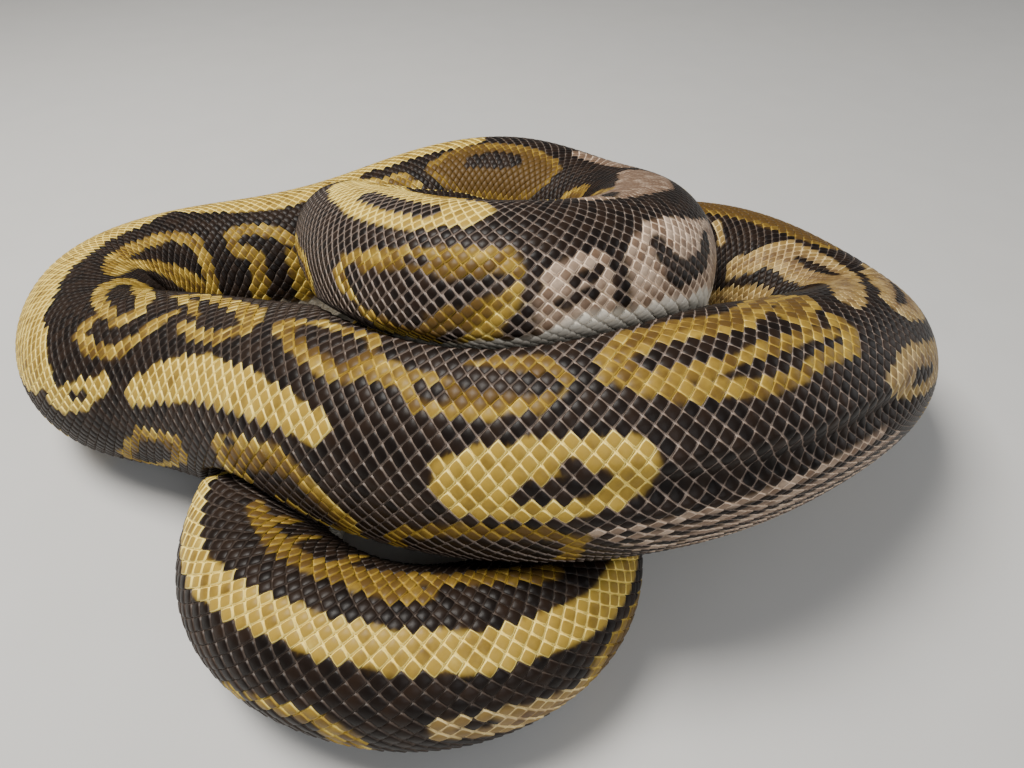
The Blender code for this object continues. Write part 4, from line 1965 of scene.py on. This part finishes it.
@dataclass(frozen=True)
class Plain:
    """An even colour, with a faint mottle.

    Attributes:
        name: The material's name.
        colour: The colour.
        roughness: Roughness of the surface.
    """

    name: str
    colour: Colour
    roughness: float

    mottle = (40.0, 2.0)
    darker = 0.94

    def build(self) -> bpy.types.Material:
        """Return the material."""
        nodes = Nodes(self.name)
        darker = tuple(value * self.darker for value in self.colour)
        colour = nodes.mix(nodes.noise(*self.mottle), self.colour, darker)
        return nodes.finish({"Base Color": colour, "Roughness": self.roughness})


# ---------------------------------------------------------------- the scene

# The camera: its place in metres, its tilt, its lens and how near it sees.
CAMERA = (0.01415, -0.16534, 0.172)
CAMERA_TILT = 48.0
CAMERA_LENS = 26.02
CAMERA_SENSOR = 36.0
NEAREST_SEEN = 0.01
# The light from all round, and the floor.
SKY = (0.78, 0.82, 0.86, 1.0)
SKY_STRENGTH = 0.16
FLOOR_SIZE = 3.0
# The solids that the one skin replaces.
FLESH = ("head", "neck", *(f"trunk_{i:02d}" for i in range(1, 12)), "tail")
# Distances from the snout at which one piece of the coat ends and the next starts.
COAT_ENDS = (72.0, 170.0, 265.0, 350.0, 430.0, 505.0, 580.0, 655.0, 735.0, 820.0, 910.0, 1000.0)


@dataclass(frozen=True)
class Lamp:
    """A soft light.

    Attributes:
        name: Its name.
        place: Where it is, in metres.
        aim: Where it points.
        size: Its width.
        power: Its power in watts.
        colour: Its colour.
    """

    name: str
    place: tuple[float, float, float]
    aim: tuple[float, float, float]
    size: float
    power: float
    colour: Colour = (1.0, 1.0, 1.0)

    def build(self) -> None:
        """Put the light in the scene."""
        data = bpy.data.lights.new(self.name, "AREA")
        data.size = self.size
        data.energy = self.power
        data.color = self.colour
        made = put(self.name, data)
        made.location = self.place
        made.rotation_euler = (Vector(self.aim) - Vector(self.place)).to_track_quat("-Z", "Y").to_euler()


LAMPS = (
    Lamp("key", (-0.28, 0.02, 0.70), (0, 0, 0.02), 0.30, 8.8, (1.0, 0.97, 0.92)),
    Lamp("front", (0.20, -0.75, 0.55), (0, -0.02, 0.03), 0.6, 3.0, (0.95, 0.97, 1.0)),
    Lamp("right", (0.8, 0.15, 0.35), (0, 0, 0.03), 0.5, 1.6),
)


class Museum:
    """The snake, its floor, its light and the camera."""

    # How an eye looks out, up and ahead, and how finely it is divided.
    gaze = (0.94, 0.28, -0.18)
    eye_segments = 48
    eye_rings = 32

    def __init__(self) -> None:
        """Work out the body's surface and its rows of scales."""
        self.spine = Spine()
        LOG.info("spine of %.0f mm", self.spine.length)
        self.surface = Surface(self.spine)
        self.lattice = Lattice(self.surface)
        self.markings = Markings(self.spine)
        self.face = Face(self.surface)
        LOG.info("%.0f scales along the back", self.lattice.count[-1])

    @staticmethod
    def _join(piece: bpy.types.Object, material: bpy.types.Material, slot: str) -> None:
        """Give a piece its material and its place on the model.

        Args:
            piece: The piece.
            material: Its material.
            slot: The slot that it belongs to; not used.
        """
        piece.data.materials.append(material)
        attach(piece, "root")
        LOG.info("%s: %d faces", piece.name, len(piece.data.polygons))

    def _eye(self, name: str, sign: int, finish: bpy.types.Material) -> None:
        """Make one eye, in place of the solid one.

        Args:
            name: The name of the solid eye.
            sign: The side of the head that it is on.
            finish: Its material.
        """
        side, up, ahead = self.spine.ways(EYE_ALONG, "side", "back", "forward")
        outwards, upwards, onwards = self.gaze
        out = unit(sign * outwards * side + upwards * up + onwards * ahead)
        up = unit(up - out * float(up @ out))
        axes = np.stack((np.cross(up, out), up, out), 1)
        mesh = bmesh.new()
        bmesh.ops.create_uvsphere(mesh, u_segments=self.eye_segments, v_segments=self.eye_rings, radius=1.0)
        data, ball = written(name + "_ball", mesh)
        mesh.free()
        points = self.face.eye_middle(sign) + EYE_RADIUS * ball @ axes.T
        data.vertices.foreach_set("co", (points * MM).ravel())
        keep(data, "gaze", np.concatenate(((ball + 1) / 2, np.ones((len(ball), 1))), axis=1))
        data.shade_smooth()
        made = put(name + "_ball", data)
        self._join(made, finish, "eye")
        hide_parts(name)

    def build(self) -> None:
        """Make every piece."""
        parts = self.surface, self.lattice, self.markings
        scale_finish = Hide("scales").build()
        skin = Skin(*parts).build("skin", self.face.sculpt)
        self._join(skin, Hide("skin", shade=0.08, roughness=0.5).build(), "body_skin")
        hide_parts(*FLESH)
        plates = HeadPlates(self.face, self.markings, skin)
        self._join(plates.lay("head_plates").build(), scale_finish, "head_skin")
        eye_finish = Eye("eye").build()
        for name, sign in (("eye_left", -1), ("eye_right", 1)):
            self._eye(name, sign, eye_finish)
        scales = Scales(*parts, self.face)
        starts, ends = (0.0, *COAT_ENDS), (*COAT_ENDS, self.spine.length)
        for number, (start, end) in enumerate(zip(starts, ends)):
            slot = {0.0: "head_skin", COAT_ENDS[-1]: "tail_skin"}.get(start, "body_skin")
            self._join(scales.lay(f"scales_{number:02d}", start, end).build(), scale_finish, slot)
        self._join(Scutes(*parts).lay("belly_scutes").build(), scale_finish, "body_skin")
        self._stage()

    def _stage(self) -> None:
        """Add the floor, the light and the camera."""
        mesh = bmesh.new()
        bmesh.ops.create_grid(mesh, x_segments=1, y_segments=1, size=FLOOR_SIZE)
        data, _ = written("floor", mesh)
        mesh.free()
        floor = put("floor", data)
        floor.data.materials.append(Plain("floor", colour=(0.60, 0.59, 0.57), roughness=0.7).build())
        for lamp in LAMPS:
            lamp.build()
        world = bpy.data.worlds.new("world")
        world.use_nodes = True
        sky = world.node_tree.nodes["Background"].inputs
        sky["Color"].default_value = SKY
        sky["Strength"].default_value = SKY_STRENGTH
        bpy.context.scene.world = world
        data = bpy.data.cameras.new("camera")
        data.lens = CAMERA_LENS
        data.sensor_width = CAMERA_SENSOR
        data.clip_start = NEAREST_SEEN
        camera = put("camera", data)
        camera.location = CAMERA
        camera.rotation_euler = (math.radians(CAMERA_TILT), 0, 0)
        bpy.context.scene.camera = camera


def main() -> None:
    """Build the scene."""
    logging.basicConfig(level=logging.INFO, format="%(name)s: %(message)s")
    Museum().build()


if __name__ == "__main__":
    main()
